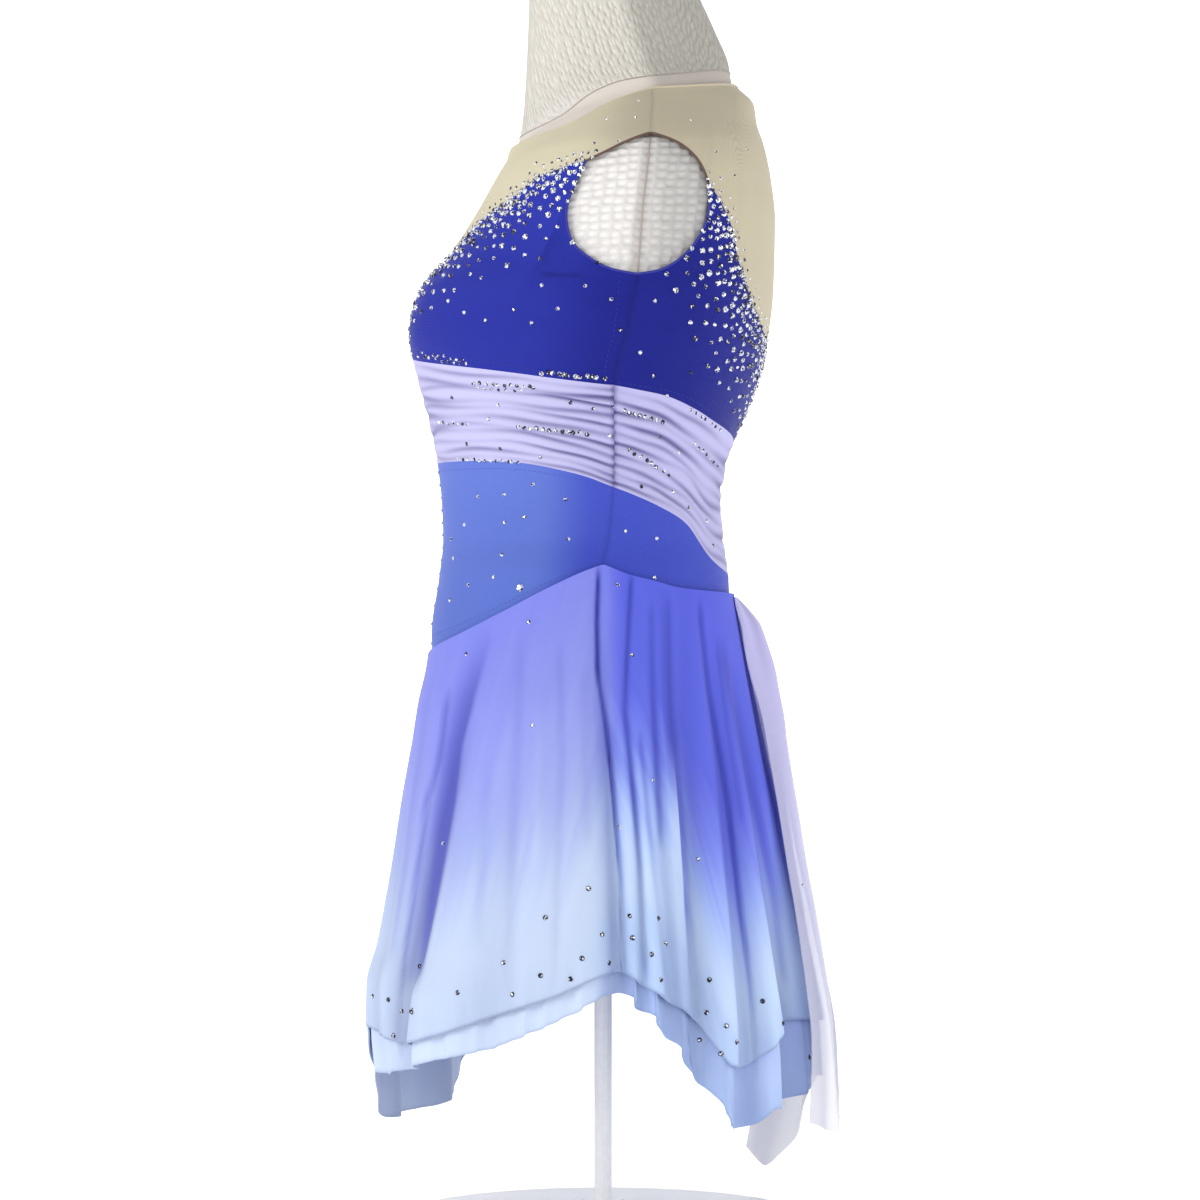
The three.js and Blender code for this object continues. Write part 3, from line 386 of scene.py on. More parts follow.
@dataclass
class Cloth:
    """A piece of cloth as a grid of points on its outside, in mm, with marks for its finish."""

    name: str
    points: Array
    normals: Array
    thickness: float
    marks: dict[str, Array] = field(default_factory=dict)

    def area(self) -> float:
        """Area of the outside in square metres."""
        a, b = self.points[1:, 1:] - self.points[:-1, :-1], self.points[:-1, 1:] - self.points[1:, :-1]
        return float(np.linalg.norm(np.cross(a, b), axis=-1).sum() / 2 * MM * MM)

    def flat_places(self) -> Array:
        """Place of each point on the flat cloth in metres, measured along its columns and rows."""
        across = np.linalg.norm(np.diff(self.points, axis=0), axis=-1)
        along = np.linalg.norm(np.diff(self.points, axis=1), axis=-1)
        u = np.concatenate([np.zeros((1, across.shape[1])), np.cumsum(across, axis=0)])
        v = np.concatenate([np.zeros((along.shape[0], 1)), np.cumsum(along, axis=1)], axis=1)
        middle = u[len(u) // 2]
        return np.stack([u - middle, v], -1) * MM

    def build(self) -> bpy.types.Object:
        """Makes the closed thin shell with its flat places and its marks.

        Returns:
            The new object.
        """
        columns, rows = self.points.shape[:2]
        inner = self.points - self.normals * self.thickness
        places = np.concatenate([self.points.reshape(-1, 3), inner.reshape(-1, 3)])
        index = np.arange(columns * rows).reshape(columns, rows)
        under = index + columns * rows
        faces = [
            np.stack([index[:-1, :-1], index[1:, :-1], index[1:, 1:], index[:-1, 1:]], -1).reshape(-1, 4),
            np.stack([under[:-1, :-1], under[:-1, 1:], under[1:, 1:], under[1:, :-1]], -1).reshape(-1, 4),
            np.stack([index[:-1, 0], under[:-1, 0], under[1:, 0], index[1:, 0]], -1),
            np.stack([index[:-1, -1], index[1:, -1], under[1:, -1], under[:-1, -1]], -1),
            np.stack([index[0, :-1], index[0, 1:], under[0, 1:], under[0, :-1]], -1),
            np.stack([index[-1, :-1], under[-1, :-1], under[-1, 1:], index[-1, 1:]], -1),
        ]
        quads = np.concatenate(faces)
        first = faces[0][len(faces[0]) // 2]
        corner = self.points.reshape(-1, 3)[first]
        facing = np.cross(corner[1] - corner[0], corner[3] - corner[0])
        if facing @ self.normals.reshape(-1, 3)[first[0]] < 0:
            quads = quads[:, ::-1]
        marks = {name: np.concatenate([mark.reshape(-1)] * 2) for name, mark in self.marks.items()}
        mesh = new_mesh(self.name, places, quads.tolist())
        finish_mesh(mesh, np.concatenate([self.flat_places().reshape(-1, 2)] * 2), marks)
        return linked(self.name, mesh)


def linked(name: str, data: bpy.types.ID) -> bpy.types.Object:
    """A new object of that data, linked to the scene."""
    thing = bpy.data.objects.new(name, data)
    bpy.context.scene.collection.objects.link(thing)
    return thing


def new_mesh(name: str, places: Array, faces: Sequence[Sequence[int]]) -> bpy.types.Mesh:
    """A mesh of faces between points in mm."""
    mesh = bpy.data.meshes.new(name)
    mesh.from_pydata((places * MM).tolist(), [], faces)
    mesh.update()
    return mesh


def finish_mesh(
    mesh: bpy.types.Mesh,
    flat: Array | None = None,
    marks: dict[str, Array] | None = None,
    sharp_degrees: float = 62,
) -> None:
    """Smooths a mesh but for its sharp edges, and gives it its flat places and its marks.

    Args:
        mesh: the mesh.
        flat: the flat place of each point in metres, or None.
        marks: one number for each point, by name.
        sharp_degrees: the turn from face to face that makes an edge sharp.
    """
    mesh.polygons.foreach_set("use_smooth", np.ones(len(mesh.polygons), bool))
    if flat is not None:
        corners = np.zeros(len(mesh.loops), np.int32)
        mesh.loops.foreach_get("vertex_index", corners)
        layer = mesh.uv_layers.new(name="cloth")
        layer.data.foreach_set("uv", flat[corners].astype(np.float32).ravel())
    for name, values in (marks or {}).items():
        mesh.attributes.new(name, "FLOAT", "POINT").data.foreach_set("value", np.asarray(values, np.float32))
    mesh.set_sharp_from_angle(angle=math.radians(sharp_degrees))
    mesh.update()


def face_out(mesh: bpy.types.Mesh, middle: Array) -> None:
    """Turns the faces round if the first one looks towards the middle, which is in mm."""
    first = mesh.polygons[0]
    if (np.array(first.center) - middle * MM) @ np.array(first.normal) < 0:
        mesh.flip_normals()


def grid_normals(points: Array, rough: Array | None = None) -> Array:
    """Directions out of a grid of points.

    Args:
        points: columns by rows of points.
        rough: rough directions out of it, or None for those away from the middle axis.

    Returns:
        One direction for each point.
    """
    out = unit(np.cross(np.gradient(points, axis=0), np.gradient(points, axis=1)))
    return turned_out(out, points[..., :2] if rough is None else rough)


class Signal:
    """A number socket of a node tree that arithmetic can be done on."""

    def __init__(self, sheet: "NodeSheet", socket: bpy.types.NodeSocket) -> None:
        """Keeps the socket and the sheet that it is on."""
        self.sheet = sheet
        self.socket = socket

    def _math(self, operation: str, first: object, second: object = 0.0) -> "Signal":
        """One Math node on two inputs."""
        return self.sheet.node("ShaderNodeMath", {0: first, 1: second}, {"operation": operation})[0]

    def __add__(self, other: object) -> "Signal":
        """Sum."""
        return self._math("ADD", self, other)

    __radd__ = __add__

    def __sub__(self, other: object) -> "Signal":
        """Difference."""
        return self._math("SUBTRACT", self, other)

    def __rsub__(self, other: object) -> "Signal":
        """Difference, the other way round."""
        return self._math("SUBTRACT", other, self)

    def __mul__(self, other: object) -> "Signal":
        """Product."""
        return self._math("MULTIPLY", self, other)

    __rmul__ = __mul__

    def __truediv__(self, other: object) -> "Signal":
        """Quotient."""
        return self._math("DIVIDE", self, other)

    def sine(self) -> "Signal":
        """Sine."""
        return self._math("SINE", self)

    def size(self) -> "Signal":
        """Size without its sign."""
        return self._math("ABSOLUTE", self)

    def larger(self, other: object) -> "Signal":
        """The larger of the two."""
        return self._math("MAXIMUM", self, other)

    def held(self) -> "Signal":
        """Held between 0 and 1."""
        return self._math("MINIMUM", self._math("MAXIMUM", self), 1.0)

    def ramp(self, low: float, high: float) -> "Signal":
        """Smooth step from 0 at low to 1 at high, which may be below low."""
        sockets = {0: self, 1: low, 2: high, 3: 0.0, 4: 1.0}
        return self.sheet.node("ShaderNodeMapRange", sockets, {"interpolation_type": "SMOOTHSTEP"})[0]


class NodeSheet:
    """A node tree, of a material or of a repeat."""

    def __init__(self, tree: bpy.types.NodeTree) -> None:
        """Keeps the tree."""
        self.tree = tree

    def node(
        self, kind: str, sockets: dict[object, object] | None = None, settings: dict[str, object] | None = None
    ) -> list[Signal]:
        """Adds a node.

        Args:
            kind: the node's type.
            sockets: its inputs by name or number, as values or as signals to link.
            settings: its properties, which are set first, and a ramp's stops.

        Returns:
            Its outputs.
        """
        made = self.tree.nodes.new(kind)
        for key, value in (settings or {}).items():
            if key == "stops":
                self._set_stops(made.color_ramp, value)
            else:
                setattr(made, key, value)
        for key, value in (sockets or {}).items():
            if isinstance(value, Signal):
                self.tree.links.new(value.socket, made.inputs[key])
            else:
                made.inputs[key].default_value = value
        return [Signal(self, output) for output in made.outputs]

    def _set_stops(self, ramp: bpy.types.ColorRamp, stops: Dye) -> None:
        """Sets the places and screen colours of a colour ramp."""
        while len(ramp.elements) < len(stops):
            ramp.elements.new(1.0)
        for element, (place, colour) in zip(ramp.elements, stops):
            element.position, element.color = place, srgb(*colour)
        ramp.interpolation = "B_SPLINE"

    def dyed(self, stops: Dye, place: Signal) -> Signal:
        """Colour of a dye at a place along it."""
        return self.node("ShaderNodeValToRGB", {0: place}, {"stops": stops})[0]

    def mark(self, name: str) -> Signal:
        """A mark of the piece, by its name."""
        return self.node("ShaderNodeAttribute", settings={"attribute_name": name})[2]

    def flat(self) -> Signal:
        """The flat place on the cloth, in metres."""
        return self.node("ShaderNodeUVMap", settings={"uv_map": "cloth"})[0]

    def flat_times(self, across: float, along: float) -> Signal:
        """The flat place on the cloth, times a number each way."""
        x, y, _ = self.parts(self.flat())
        return self.node("ShaderNodeCombineXYZ", {0: x * across, 1: y * along})[0]

    def place(self) -> Signal:
        """The place on the object, in metres."""
        return self.node("ShaderNodeTexCoord")[3]

    def parts(self, vector: Signal) -> list[Signal]:
        """The three numbers of a vector."""
        return self.node("ShaderNodeSeparateXYZ", {0: vector})

    def noise(self, vector: Signal, scale: float, detail: float = 3.0) -> Signal:
        """Soft noise round 0.5."""
        return self.node("ShaderNodeTexNoise", {"Vector": vector, "Scale": scale, "Detail": detail})[0]

    def mix(self, share: object, first: object, second: object, blend: str = "MIX") -> Signal:
        """Mix of two colours."""
        settings = {"data_type": "RGBA", "blend_type": blend}
        return self.node("ShaderNodeMix", {0: share, 6: first, 7: second}, settings)[2]

    def shaded(self, colour: object, amount: Signal) -> Signal:
        """A colour times a number."""
        grey = self.node("ShaderNodeCombineColor", {0: amount, 1: amount, 2: amount})[0]
        return self.mix(1.0, colour, grey, "MULTIPLY")

    def bump(self, height: Signal, distance: float) -> Signal:
        """Normal with a relief of that height in metres."""
        return self.node("ShaderNodeBump", {"Height": height, "Distance": distance, "Strength": 1.0})[0]


class Finish:
    """A finish, which makes its material once."""

    name: str

    def sockets(self, sheet: NodeSheet) -> dict[str, object]:
        """Inputs of the surface shader by name, worked out on the material's sheet."""
        raise NotImplementedError

    def material(self) -> bpy.types.Material:
        """Gives the material, and makes it first if it is new.

        Returns:
            The material.
        """
        known = bpy.data.materials.get(self.name)
        if known is not None:
            return known
        material = bpy.data.materials.new(self.name)
        material.use_nodes = True
        material.node_tree.nodes.clear()
        sheet = NodeSheet(material.node_tree)
        surface = sheet.node("ShaderNodeBsdfPrincipled", self.sockets(sheet))[0]
        sheet.node("ShaderNodeOutputMaterial", {0: surface})
        return material


class Weave(Enum):
    """How the threads of a cloth lie."""

    NET = "net"
    JERSEY = "jersey"


@dataclass(frozen=True)
class ClothFinish(Finish):
    """Stretch cloth: its dye along the piece, a darker copy of the dye for the back as painted shade, its weave,
    painted shade in its folds and its sheen.
    """

    name: str
    weave: Weave
    pitch: float
    dye: Dye
    shaded_back_dye: Dye | None = None
    fold_shade_tint: Tint | None = None
    fold_shade_share: float = 0.6
    fold_shade: float = 0.25
    pale_fold_shade: float = 1.0
    streaks: float = 0.0
    mottle: float = 0.06
    roughness: float = 0.5
    sheen: float = 0.05
    relief: float = 0.0001
    alpha: float = 1.0
    clearer_tip: float = 0.0

    def _threads(self, sheet: NodeSheet) -> Signal:
        """Height of the threads, from 0 to 1."""
        x, y, _ = sheet.parts(sheet.flat())
        turn = 2 * math.pi / self.pitch
        if self.weave is Weave.NET:
            slanted = turn * 0.7071
            return ((x + y) * slanted).sine().size().larger(((x - y) * slanted).sine().size())
        wale = (x * turn).sine()
        return wale.size() + ((y * (turn * 0.6)) + wale * 0.6).sine() * 0.3

    def sockets(self, sheet: NodeSheet) -> dict[str, object]:
        """Works out the cloth's shader.

        Args:
            sheet: the material's sheet.

        Returns:
            Inputs of the surface shader by name.
        """
        dye, fold = sheet.mark("dye"), sheet.mark("fold")
        cloud = sheet.noise(sheet.place(), 14.0, 4.0)
        blurred = dye + (cloud - 0.5) * 0.05
        if self.streaks:
            blurred = blurred + (sheet.noise(sheet.flat_times(70.0, 3.0), 1.0) - 0.5) * self.streaks
        colour = sheet.dyed(self.dye, blurred)
        # The round mark swaps in the darker back dye: painted shade on the back.
        if self.shaded_back_dye is not None:
            colour = sheet.mix(sheet.mark("round"), colour, sheet.dyed(self.shaded_back_dye, blurred))
        # Painted shade in the folds: the fold mark mixes towards a deep fold colour, less where the dye is pale.
        if self.fold_shade_tint is not None:
            deep = (fold * self.fold_shade_share).held()
            deep = deep * (self.pale_fold_shade + dye.ramp(0.12, 0.5) * (1.0 - self.pale_fold_shade))
            colour = sheet.mix(deep, colour, srgb(*self.fold_shade_tint))
        threads = self._threads(sheet)
        fine = sheet.noise(sheet.flat(), 900.0, 2.0)
        tone = 1.0 - self.mottle + (cloud * (self.mottle * 1.6)) + (threads * 0.06 + fine * 0.06 - 0.06)
        return {
            # The fold mark also darkens the whole colour there, as painted shade.
            "Base Color": sheet.shaded(colour, tone * (1.0 - fold * self.fold_shade)),
            "Roughness": (self.roughness - 0.05) + threads * 0.1,
            "Sheen Weight": self.sheen,
            "Sheen Roughness": 0.4,
            "Specular IOR Level": 0.14,
            "Alpha": self.alpha - (1.0 - dye) * self.clearer_tip if self.clearer_tip else self.alpha,
            "Normal": sheet.bump(threads + fine * 0.4, self.relief),
        }


@dataclass(frozen=True)
class CoverFinish(Finish):
    """The dress form's cover of pebbled basket weave, smooth in a band below the neck seam, with painted shade in
    the grooves between pebbles and on its side away from the key light.
    """

    name: str = "pebbled_cover"
    neck_tint: Tint = (227, 223, 213)
    arm_tint: Tint = (240, 237, 234)
    band_tint: Tint = (226, 218, 209)
    seam_tint: Tint = (150, 138, 130)
    groove_shade: float = 0.82
    relief: float = 0.0013
    # Width and height of a pebble in metres, and how loosely they lie, on the body and on the neck
    lying: tuple[float, float, float] = (0.0078, 0.0056, 0.32)
    upright: tuple[float, float, float] = (0.0034, 0.0066, 0.75)

    def _pebbles(self, sheet: NodeSheet, width: float, height: float, loose: float) -> Signal:
        """Height of the pebbles, from 0 to 1."""
        settings = {"voronoi_dimensions": "2D", "feature": "SMOOTH_F1"}
        spot = sheet.flat_times(1 / width, 1 / height)
        sockets = {"Vector": spot, "Scale": 1.0, "Smoothness": 0.25, "Randomness": loose}
        return sheet.node("ShaderNodeTexVoronoi", sockets, settings)[0].ramp(0.72, 0.05)

    def sockets(self, sheet: NodeSheet) -> dict[str, object]:
        """Works out the cover's shader.

        Args:
            sheet: the material's sheet.

        Returns:
            Inputs of the surface shader by name.
        """
        up, band = sheet.mark("upright"), sheet.mark("band")
        pebbles = self._pebbles(sheet, *self.lying) * (1.0 - up) + self._pebbles(sheet, *self.upright) * up
        height = pebbles * (1.0 - band)
        grain = sheet.noise(sheet.flat(), 700.0)
        cloud = sheet.noise(sheet.place(), 26.0)
        colour = sheet.mix(up, srgb(*self.arm_tint), srgb(*self.neck_tint))
        colour = sheet.mix(band, colour, srgb(*self.band_tint))
        colour = sheet.mix(sheet.mark("seam"), colour, srgb(*self.seam_tint))
        # Painted shade: darker in the grooves between pebbles, and by the shade mark on the side away from the key
        # light.
        tone = self.groove_shade + (height + band).held() * (1.0 - self.groove_shade)
        tone = tone * (0.93 + grain * 0.08 + cloud * 0.06) * (1.0 - sheet.mark("shade") * 0.34)
        return {
            "Base Color": sheet.shaded(colour, tone),
            "Roughness": 0.75 - height * 0.1,
            "Specular IOR Level": 0.3,
            "Normal": sheet.bump(height + grain * 0.05, self.relief),
        }


@dataclass(frozen=True)
class CrystalFinish(Finish):
    """Flat-back crystals whose base colour paints their reflections: bright glints on the facets, with a dark one
    here and there.
    """

    name: str = "crystal"
    painted_glint: Tint = (236, 239, 247)
    painted_dark_facet: Tint = (36, 38, 60)

    def sockets(self, sheet: NodeSheet) -> dict[str, object]:
        """Works out the crystals' shader.

        Args:
            sheet: the material's sheet.

        Returns:
            Inputs of the surface shader by name.
        """
        # Painted reflections: the noise makes most facets bright glints and some dark, more of them dark on stones
        # whose shade mark is high.
        facet = sheet.noise(sheet.place(), 760.0, 0.0)
        painted_dark_facet = (facet + sheet.mark("shade") * 0.16).ramp(0.49, 0.58)
        return {
            "Base Color": sheet.mix(painted_dark_facet, srgb(*self.painted_glint), srgb(*self.painted_dark_facet)),
            "Metallic": 0.35 + painted_dark_facet * 0.2,
            "Roughness": 0.12,
            "Coat Weight": 0.6 - painted_dark_facet * 0.3,
            "Coat Roughness": 0.05,
        }


@dataclass(frozen=True)
class PlainFinish(Finish):
    """Thread, binding or paint: one colour with a fine grain."""

    name: str
    tint: Tint
    roughness: float = 0.6
    grain: float = 800.0
    relief: float = 0.00006

    def sockets(self, sheet: NodeSheet) -> dict[str, object]:
        """Works out the shader.

        Args:
            sheet: the material's sheet.

        Returns:
            Inputs of the surface shader by name.
        """
        grain = sheet.noise(sheet.place(), self.grain, 2.0)
        return {
            "Base Color": sheet.shaded(srgb(*self.tint), 0.93 + grain * 0.14),
            "Roughness": (self.roughness - 0.04) + grain * 0.08,
            "Normal": sheet.bump(grain, self.relief),
        }


@dataclass(frozen=True)
class GlowFinish(Finish):
    """Plain white that glows a little, so that it stays white in the picture."""

    name: str
    glow: float

    def sockets(self, sheet: NodeSheet) -> dict[str, object]:
        """Inputs of the surface shader by name."""
        return {
            "Base Color": srgb(250, 250, 250),
            "Roughness": 0.85 + sheet.noise(sheet.place(), 6.0, 2.0) * 0.1,
            "Emission Color": WHITE,
            "Emission Strength": self.glow,
        }


def one_dye(*tint: float) -> Dye:
    """The same dye all along a piece."""
    return ((0.0, tint), (1.0, tint))


# The second dye of a cloth is a darker copy for the back: painted shade on the side away from the key light. On
# the two skirt layers the back dye is partly the back's own deeper ombre, and the front dye is paler and greyer as
# painted sheen. The fold tints paint the shade in the folds.
YOKE_NET = ClothFinish(
    "nude_net_cloth", Weave.NET, 0.0016, one_dye(217, 209, 181), one_dye(196, 187, 163),
    mottle=0.05, roughness=0.62, relief=0.00012,
)
ROYAL_JERSEY = ClothFinish(
    "royal_jersey_cloth", Weave.JERSEY, 0.0013,
    ((0.0, (33, 43, 152)), (0.5, (36, 46, 159)), (1.0, (41, 52, 169))),
    ((0.0, (20, 27, 128)), (0.5, (22, 29, 132)), (1.0, (26, 34, 140))),
    fold_shade_tint=(28, 32, 118), mottle=0.08, sheen=0.03, relief=0.00008,
)
SASH_NET = ClothFinish(
    "lavender_net_cloth", Weave.NET, 0.0014, one_dye(194, 191, 230), one_dye(187, 184, 226),
    fold_shade_tint=(104, 101, 160), fold_shade_share=0.9, roughness=0.6,
)
PERIWINKLE_JERSEY = ClothFinish(
    "periwinkle_jersey_cloth", Weave.JERSEY, 0.0013,
    ((0.0, (88, 111, 198)), (1.0, (96, 118, 205))),
    ((0.0, (62, 76, 188)), (1.0, (67, 82, 193))),
    fold_shade_tint=(58, 74, 180), sheen=0.03, relief=0.00008,
)
SKIRT_MESH = ClothFinish(
    "ombre_net_cloth", Weave.NET, 0.0014,
    (
        (0.0, (188, 204, 232)), (0.1, (195, 210, 236)), (0.2, (188, 203, 233)), (0.3, (160, 174, 229)),
        (0.4, (152, 161, 229)), (0.5, (141, 149, 228)), (0.66, (127, 134, 227)), (1.0, (118, 125, 224)),
    ),
    (
        (0.0, (186, 210, 250)), (0.06, (204, 226, 255)), (0.14, (196, 218, 255)), (0.22, (164, 186, 250)),
        (0.31, (120, 133, 236)), (0.42, (92, 102, 224)), (1.0, (82, 92, 214)),
    ),
    fold_shade_tint=(70, 78, 196), fold_shade_share=0.55, fold_shade=0.28, pale_fold_shade=0.3, streaks=0.16,
    mottle=0.05, roughness=0.58, relief=0.00009,
)
UNDER_MESH = ClothFinish(
    "pale_net_cloth", Weave.NET, 0.0014,
    ((0.0, (200, 215, 240)), (0.05, (206, 220, 244)), (0.3, (176, 190, 232)), (1.0, (122, 132, 224))),
    ((0.0, (168, 190, 236)), (0.05, (190, 210, 250)), (0.3, (164, 184, 246)), (1.0, (100, 112, 222))),
    fold_shade_tint=(120, 138, 206), fold_shade_share=0.35, fold_shade=0.16, pale_fold_shade=0.5, streaks=0.08,
    mottle=0.05, roughness=0.58, relief=0.00009,
)
TAIL_MESH = ClothFinish(
    "sheer_net_cloth", Weave.NET, 0.0016,
    ((0.0, (238, 238, 240)), (0.3, (234, 236, 254)), (0.7, (222, 219, 255)), (1.0, (214, 209, 255))),
    fold_shade_tint=(164, 160, 216), fold_shade_share=0.5, mottle=0.05, roughness=0.6, alpha=0.8, clearer_tip=0.28,
)
FORM_COVER = CoverFinish()
CRYSTAL = CrystalFinish()
NECK_BINDING = PlainFinish("neck_binding", (214, 200, 176))
# Dark brown on the yoke's armhole edge: painted shadow along the turned edge of the nude net.
SHADOWED_ARM_BINDING = PlainFinish("arm_binding", (96, 72, 62))
ROYAL_BINDING = PlainFinish("royal_binding", (36, 42, 146))
ROYAL_THREAD = PlainFinish("royal_thread", (30, 36, 128))
BASQUE_THREAD = PlainFinish("basque_thread", (70, 84, 180))
COVER_THREAD = PlainFinish("cover_seam", (168, 160, 153))
STAND_PAINT = PlainFinish("satin_paint", (240, 240, 240), roughness=0.35, grain=260.0, relief=0.00003)


def dress(thing: bpy.types.Object, finish: Finish, slot: str | None, *nodes: str) -> bpy.types.Object:
    """Gives a finished piece its material and its place in the model.

    Args:
        thing: the piece.
        finish: its finish.
        slot: its material slot, or None; not used.
        nodes: the CAD nodes that it stands for.

    Returns:
        The same piece.
    """
    if not thing.data.materials:
        thing.data.materials.append(finish.material())
    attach(thing, BODY)
    if nodes:
        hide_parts(*nodes)
    log.info("%s: %d faces", thing.name, len(thing.data.polygons))
    return thing


@dataclass(frozen=True)
class Cut:
    """The flat cut of a cloth piece, in metres and square metres, and how it is held."""

    width: float
    length: float
    area: float
    held: str
    rests_on: tuple[str, ...]

    def declare(self, thing: bpy.types.Object) -> None:
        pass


def wear(cloth: Cloth, finish: Finish, slot: str) -> None:
    """Makes a cloth piece and puts it in its solid's place.

    Args:
        cloth: the piece.
        finish: its finish.
        slot: its material slot.
    """
    thing = dress(cloth.build(), finish, slot, cloth.name)
    thing.name = f"{cloth.name}_cloth"
    CUTS[cloth.name].declare(thing)


def seen_at(points: Array) -> Array:
    """Where the photograph shows points of the left side, and of the right side mirrored.

    Args:
        points: points in mm.

    Returns:
        Pixels across and down.
    """
    scale = PIXEL_MM * (1 - np.abs(points[..., 0]) / CAMERA_MM)
    across = PIXEL_MIDDLE + (points[..., 1] - MIDDLE_Y) / scale
    down = PIXEL_MIDDLE - (points[..., 2] - MIDDLE_Z) / scale
    return np.stack([across, down], -1)


@dataclass
class Trim:
    """A rounded binding or cord along a line on the cloth."""

    name: str
    width: float
    height: float
    sides: int = 10

    def build(self, path: Array, normals: Array, closed: bool) -> bpy.types.Object:
        """Sweeps an oval along the line.

        Args:
            path: points of the line in mm.
            normals: directions out of the cloth there.
            closed: whether the line ends where it starts.

        Returns:
            The new object.
        """
        count = len(path)
        if closed:
            along = unit(np.roll(path, -1, axis=0) - np.roll(path, 1, axis=0))
        else:
            along = unit(np.gradient(path, axis=0))
        aside = unit(np.cross(along, normals))
        out = unit(np.cross(aside, along))
        turn = np.arange(self.sides) / self.sides * 2 * math.pi
        ring = aside[:, None] * (np.cos(turn) * self.width / 2)[None, :, None]
        ring = ring + out[:, None] * (np.sin(turn) * self.height / 2)[None, :, None]
        index = np.arange(count * self.sides).reshape(count, self.sides)
        ahead = np.roll(index, -1, axis=0) if closed else index[1:]
        here = index if closed else index[:-1]
        quads = np.stack([here, ahead, np.roll(ahead, -1, axis=1), np.roll(here, -1, axis=1)], -1)
        faces = quads.reshape(-1, 4).tolist()
        if not closed:
            faces += [index[0].tolist(), index[-1][::-1].tolist()]
        mesh = new_mesh(self.name, (path[:, None] + ring).reshape(-1, 3), faces)
        face_out(mesh, path[0])
        finish_mesh(mesh)
        return linked(self.name, mesh)


class Repeat(Enum):
    """What a repeat tree sets on its points."""

    CRYSTAL = "crystal"
    STITCH = "stitch"


@dataclass
class Setter:
    """Sets crystals or stitches on points by Geometry Nodes."""

    kind: Repeat
    sides: int = 8
    seed: int = 7
    height: float = 0.62
    top_share: float = 0.52

    def _tree(self) -> bpy.types.GeometryNodeTree:
        """Builds the node tree, once for each kind.

        Returns:
            The tree.
        """
        name = f"set_{self.kind.value}"
        known = bpy.data.node_groups.get(name)
        if known is not None:
            return known
        tree = bpy.data.node_groups.new(name, "GeometryNodeTree")
        inputs = {"Points": "Geometry", "Width": "Float", "Height": "Float", "Top share": "Float"}
        inputs |= {"Sides": "Int", "Seed": "Int", "Finish": "Material"}
        for label, kind in inputs.items():
            tree.interface.new_socket(label, in_out="INPUT", socket_type=f"NodeSocket{kind}")
        tree.interface.new_socket("Set", in_out="OUTPUT", socket_type="NodeSocketGeometry")
        sheet = NodeSheet(tree)
        given = dict(zip(inputs, sheet.node("NodeGroupInput")))
        spin = {}
        if self.kind is Repeat.CRYSTAL:
            sizes = {"Vertices": given["Sides"], "Radius Top": given["Top share"]}
            sizes |= {"Radius Bottom": given["Width"], "Depth": given["Height"]}
            item = sheet.node("GeometryNodeMeshCone", sizes)[0]
            ends = {0: (0, 0, 0), 1: (0, 0, 2 * math.pi), "Seed": given["Seed"]}
            spin["Rotation"] = sheet.node("FunctionNodeRandomValue", ends, {"data_type": "FLOAT_VECTOR"})[0]
        else:
            sizes = {"Rings": 4, "Segments": given["Sides"], "Radius": given["Width"]}
            item = sheet.node("GeometryNodeMeshUVSphere", sizes)[0]
        places = {"Points": given["Points"], "Instance": item}
        places |= {"Rotation": self._named(sheet, "turn"), "Scale": self._named(sheet, "size")}
        placed = sheet.node("GeometryNodeInstanceOnPoints", places)[0]
        spun = sheet.node("GeometryNodeRotateInstances", {"Instances": placed} | spin)[0]
        real = sheet.node("GeometryNodeRealizeInstances", {"Geometry": spun})[0]
        shading = {"Geometry": real, "Shade Smooth": self.kind is Repeat.STITCH}
        shaded = sheet.node("GeometryNodeSetShadeSmooth", shading)[0]
        made = sheet.node("GeometryNodeSetMaterial", {"Geometry": shaded, "Material": given["Finish"]})[0]
        sheet.node("NodeGroupOutput", {"Set": made})
        return tree

    def _named(self, sheet: NodeSheet, name: str) -> Signal:
        """A vector that each point carries."""
        made = sheet.node("GeometryNodeInputNamedAttribute", {"Name": name}, {"data_type": "FLOAT_VECTOR"})
        return next(signal for signal in made if signal.socket.enabled and signal.socket.name == "Attribute")

    def build(self, name: str, points: Array, turns: Array, sizes: Array, shades: Array, finish: Finish) -> None:
        """Sets one item on each point, makes the result a plain mesh and dresses it.

        Args:
            name: the piece's name.
            points: places in mm.
            turns: rotations as Euler angles.
            sizes: three sizes for each item, in mm.
            shades: a number for each item that its finish reads.
            finish: the finish.
        """
        mesh = new_mesh(f"{name}_points", points, [])
        for mark, kind, key, values in (
            ("turn", "FLOAT_VECTOR", "vector", turns),
            ("size", "FLOAT_VECTOR", "vector", sizes * MM),
            ("shade", "FLOAT", "value", shades),
        ):
            attribute = mesh.attributes.new(mark, kind, "POINT")
            attribute.data.foreach_set(key, np.asarray(values, np.float32).ravel())
        thing = linked(name, mesh)
        modifier = thing.modifiers.new("set", "NODES")
        modifier.node_group = self._tree()
        values = {
            "Width": 1.0 if self.kind is Repeat.CRYSTAL else 0.5,
            "Height": self.height,
            "Top share": self.top_share,
            "Sides": self.sides,
            "Seed": self.seed,
            "Finish": finish.material(),
        }
        for item in modifier.node_group.interface.items_tree:
            if item.in_out == "INPUT" and item.name in values:
                modifier[item.identifier] = values[item.name]
        evaluated = thing.evaluated_get(bpy.context.evaluated_depsgraph_get())
        made = bpy.data.meshes.new_from_object(evaluated)
        made.name = name
        thing.modifiers.clear()
        thing.data = made
        bpy.data.meshes.remove(mesh)
        dress(thing, finish, None)


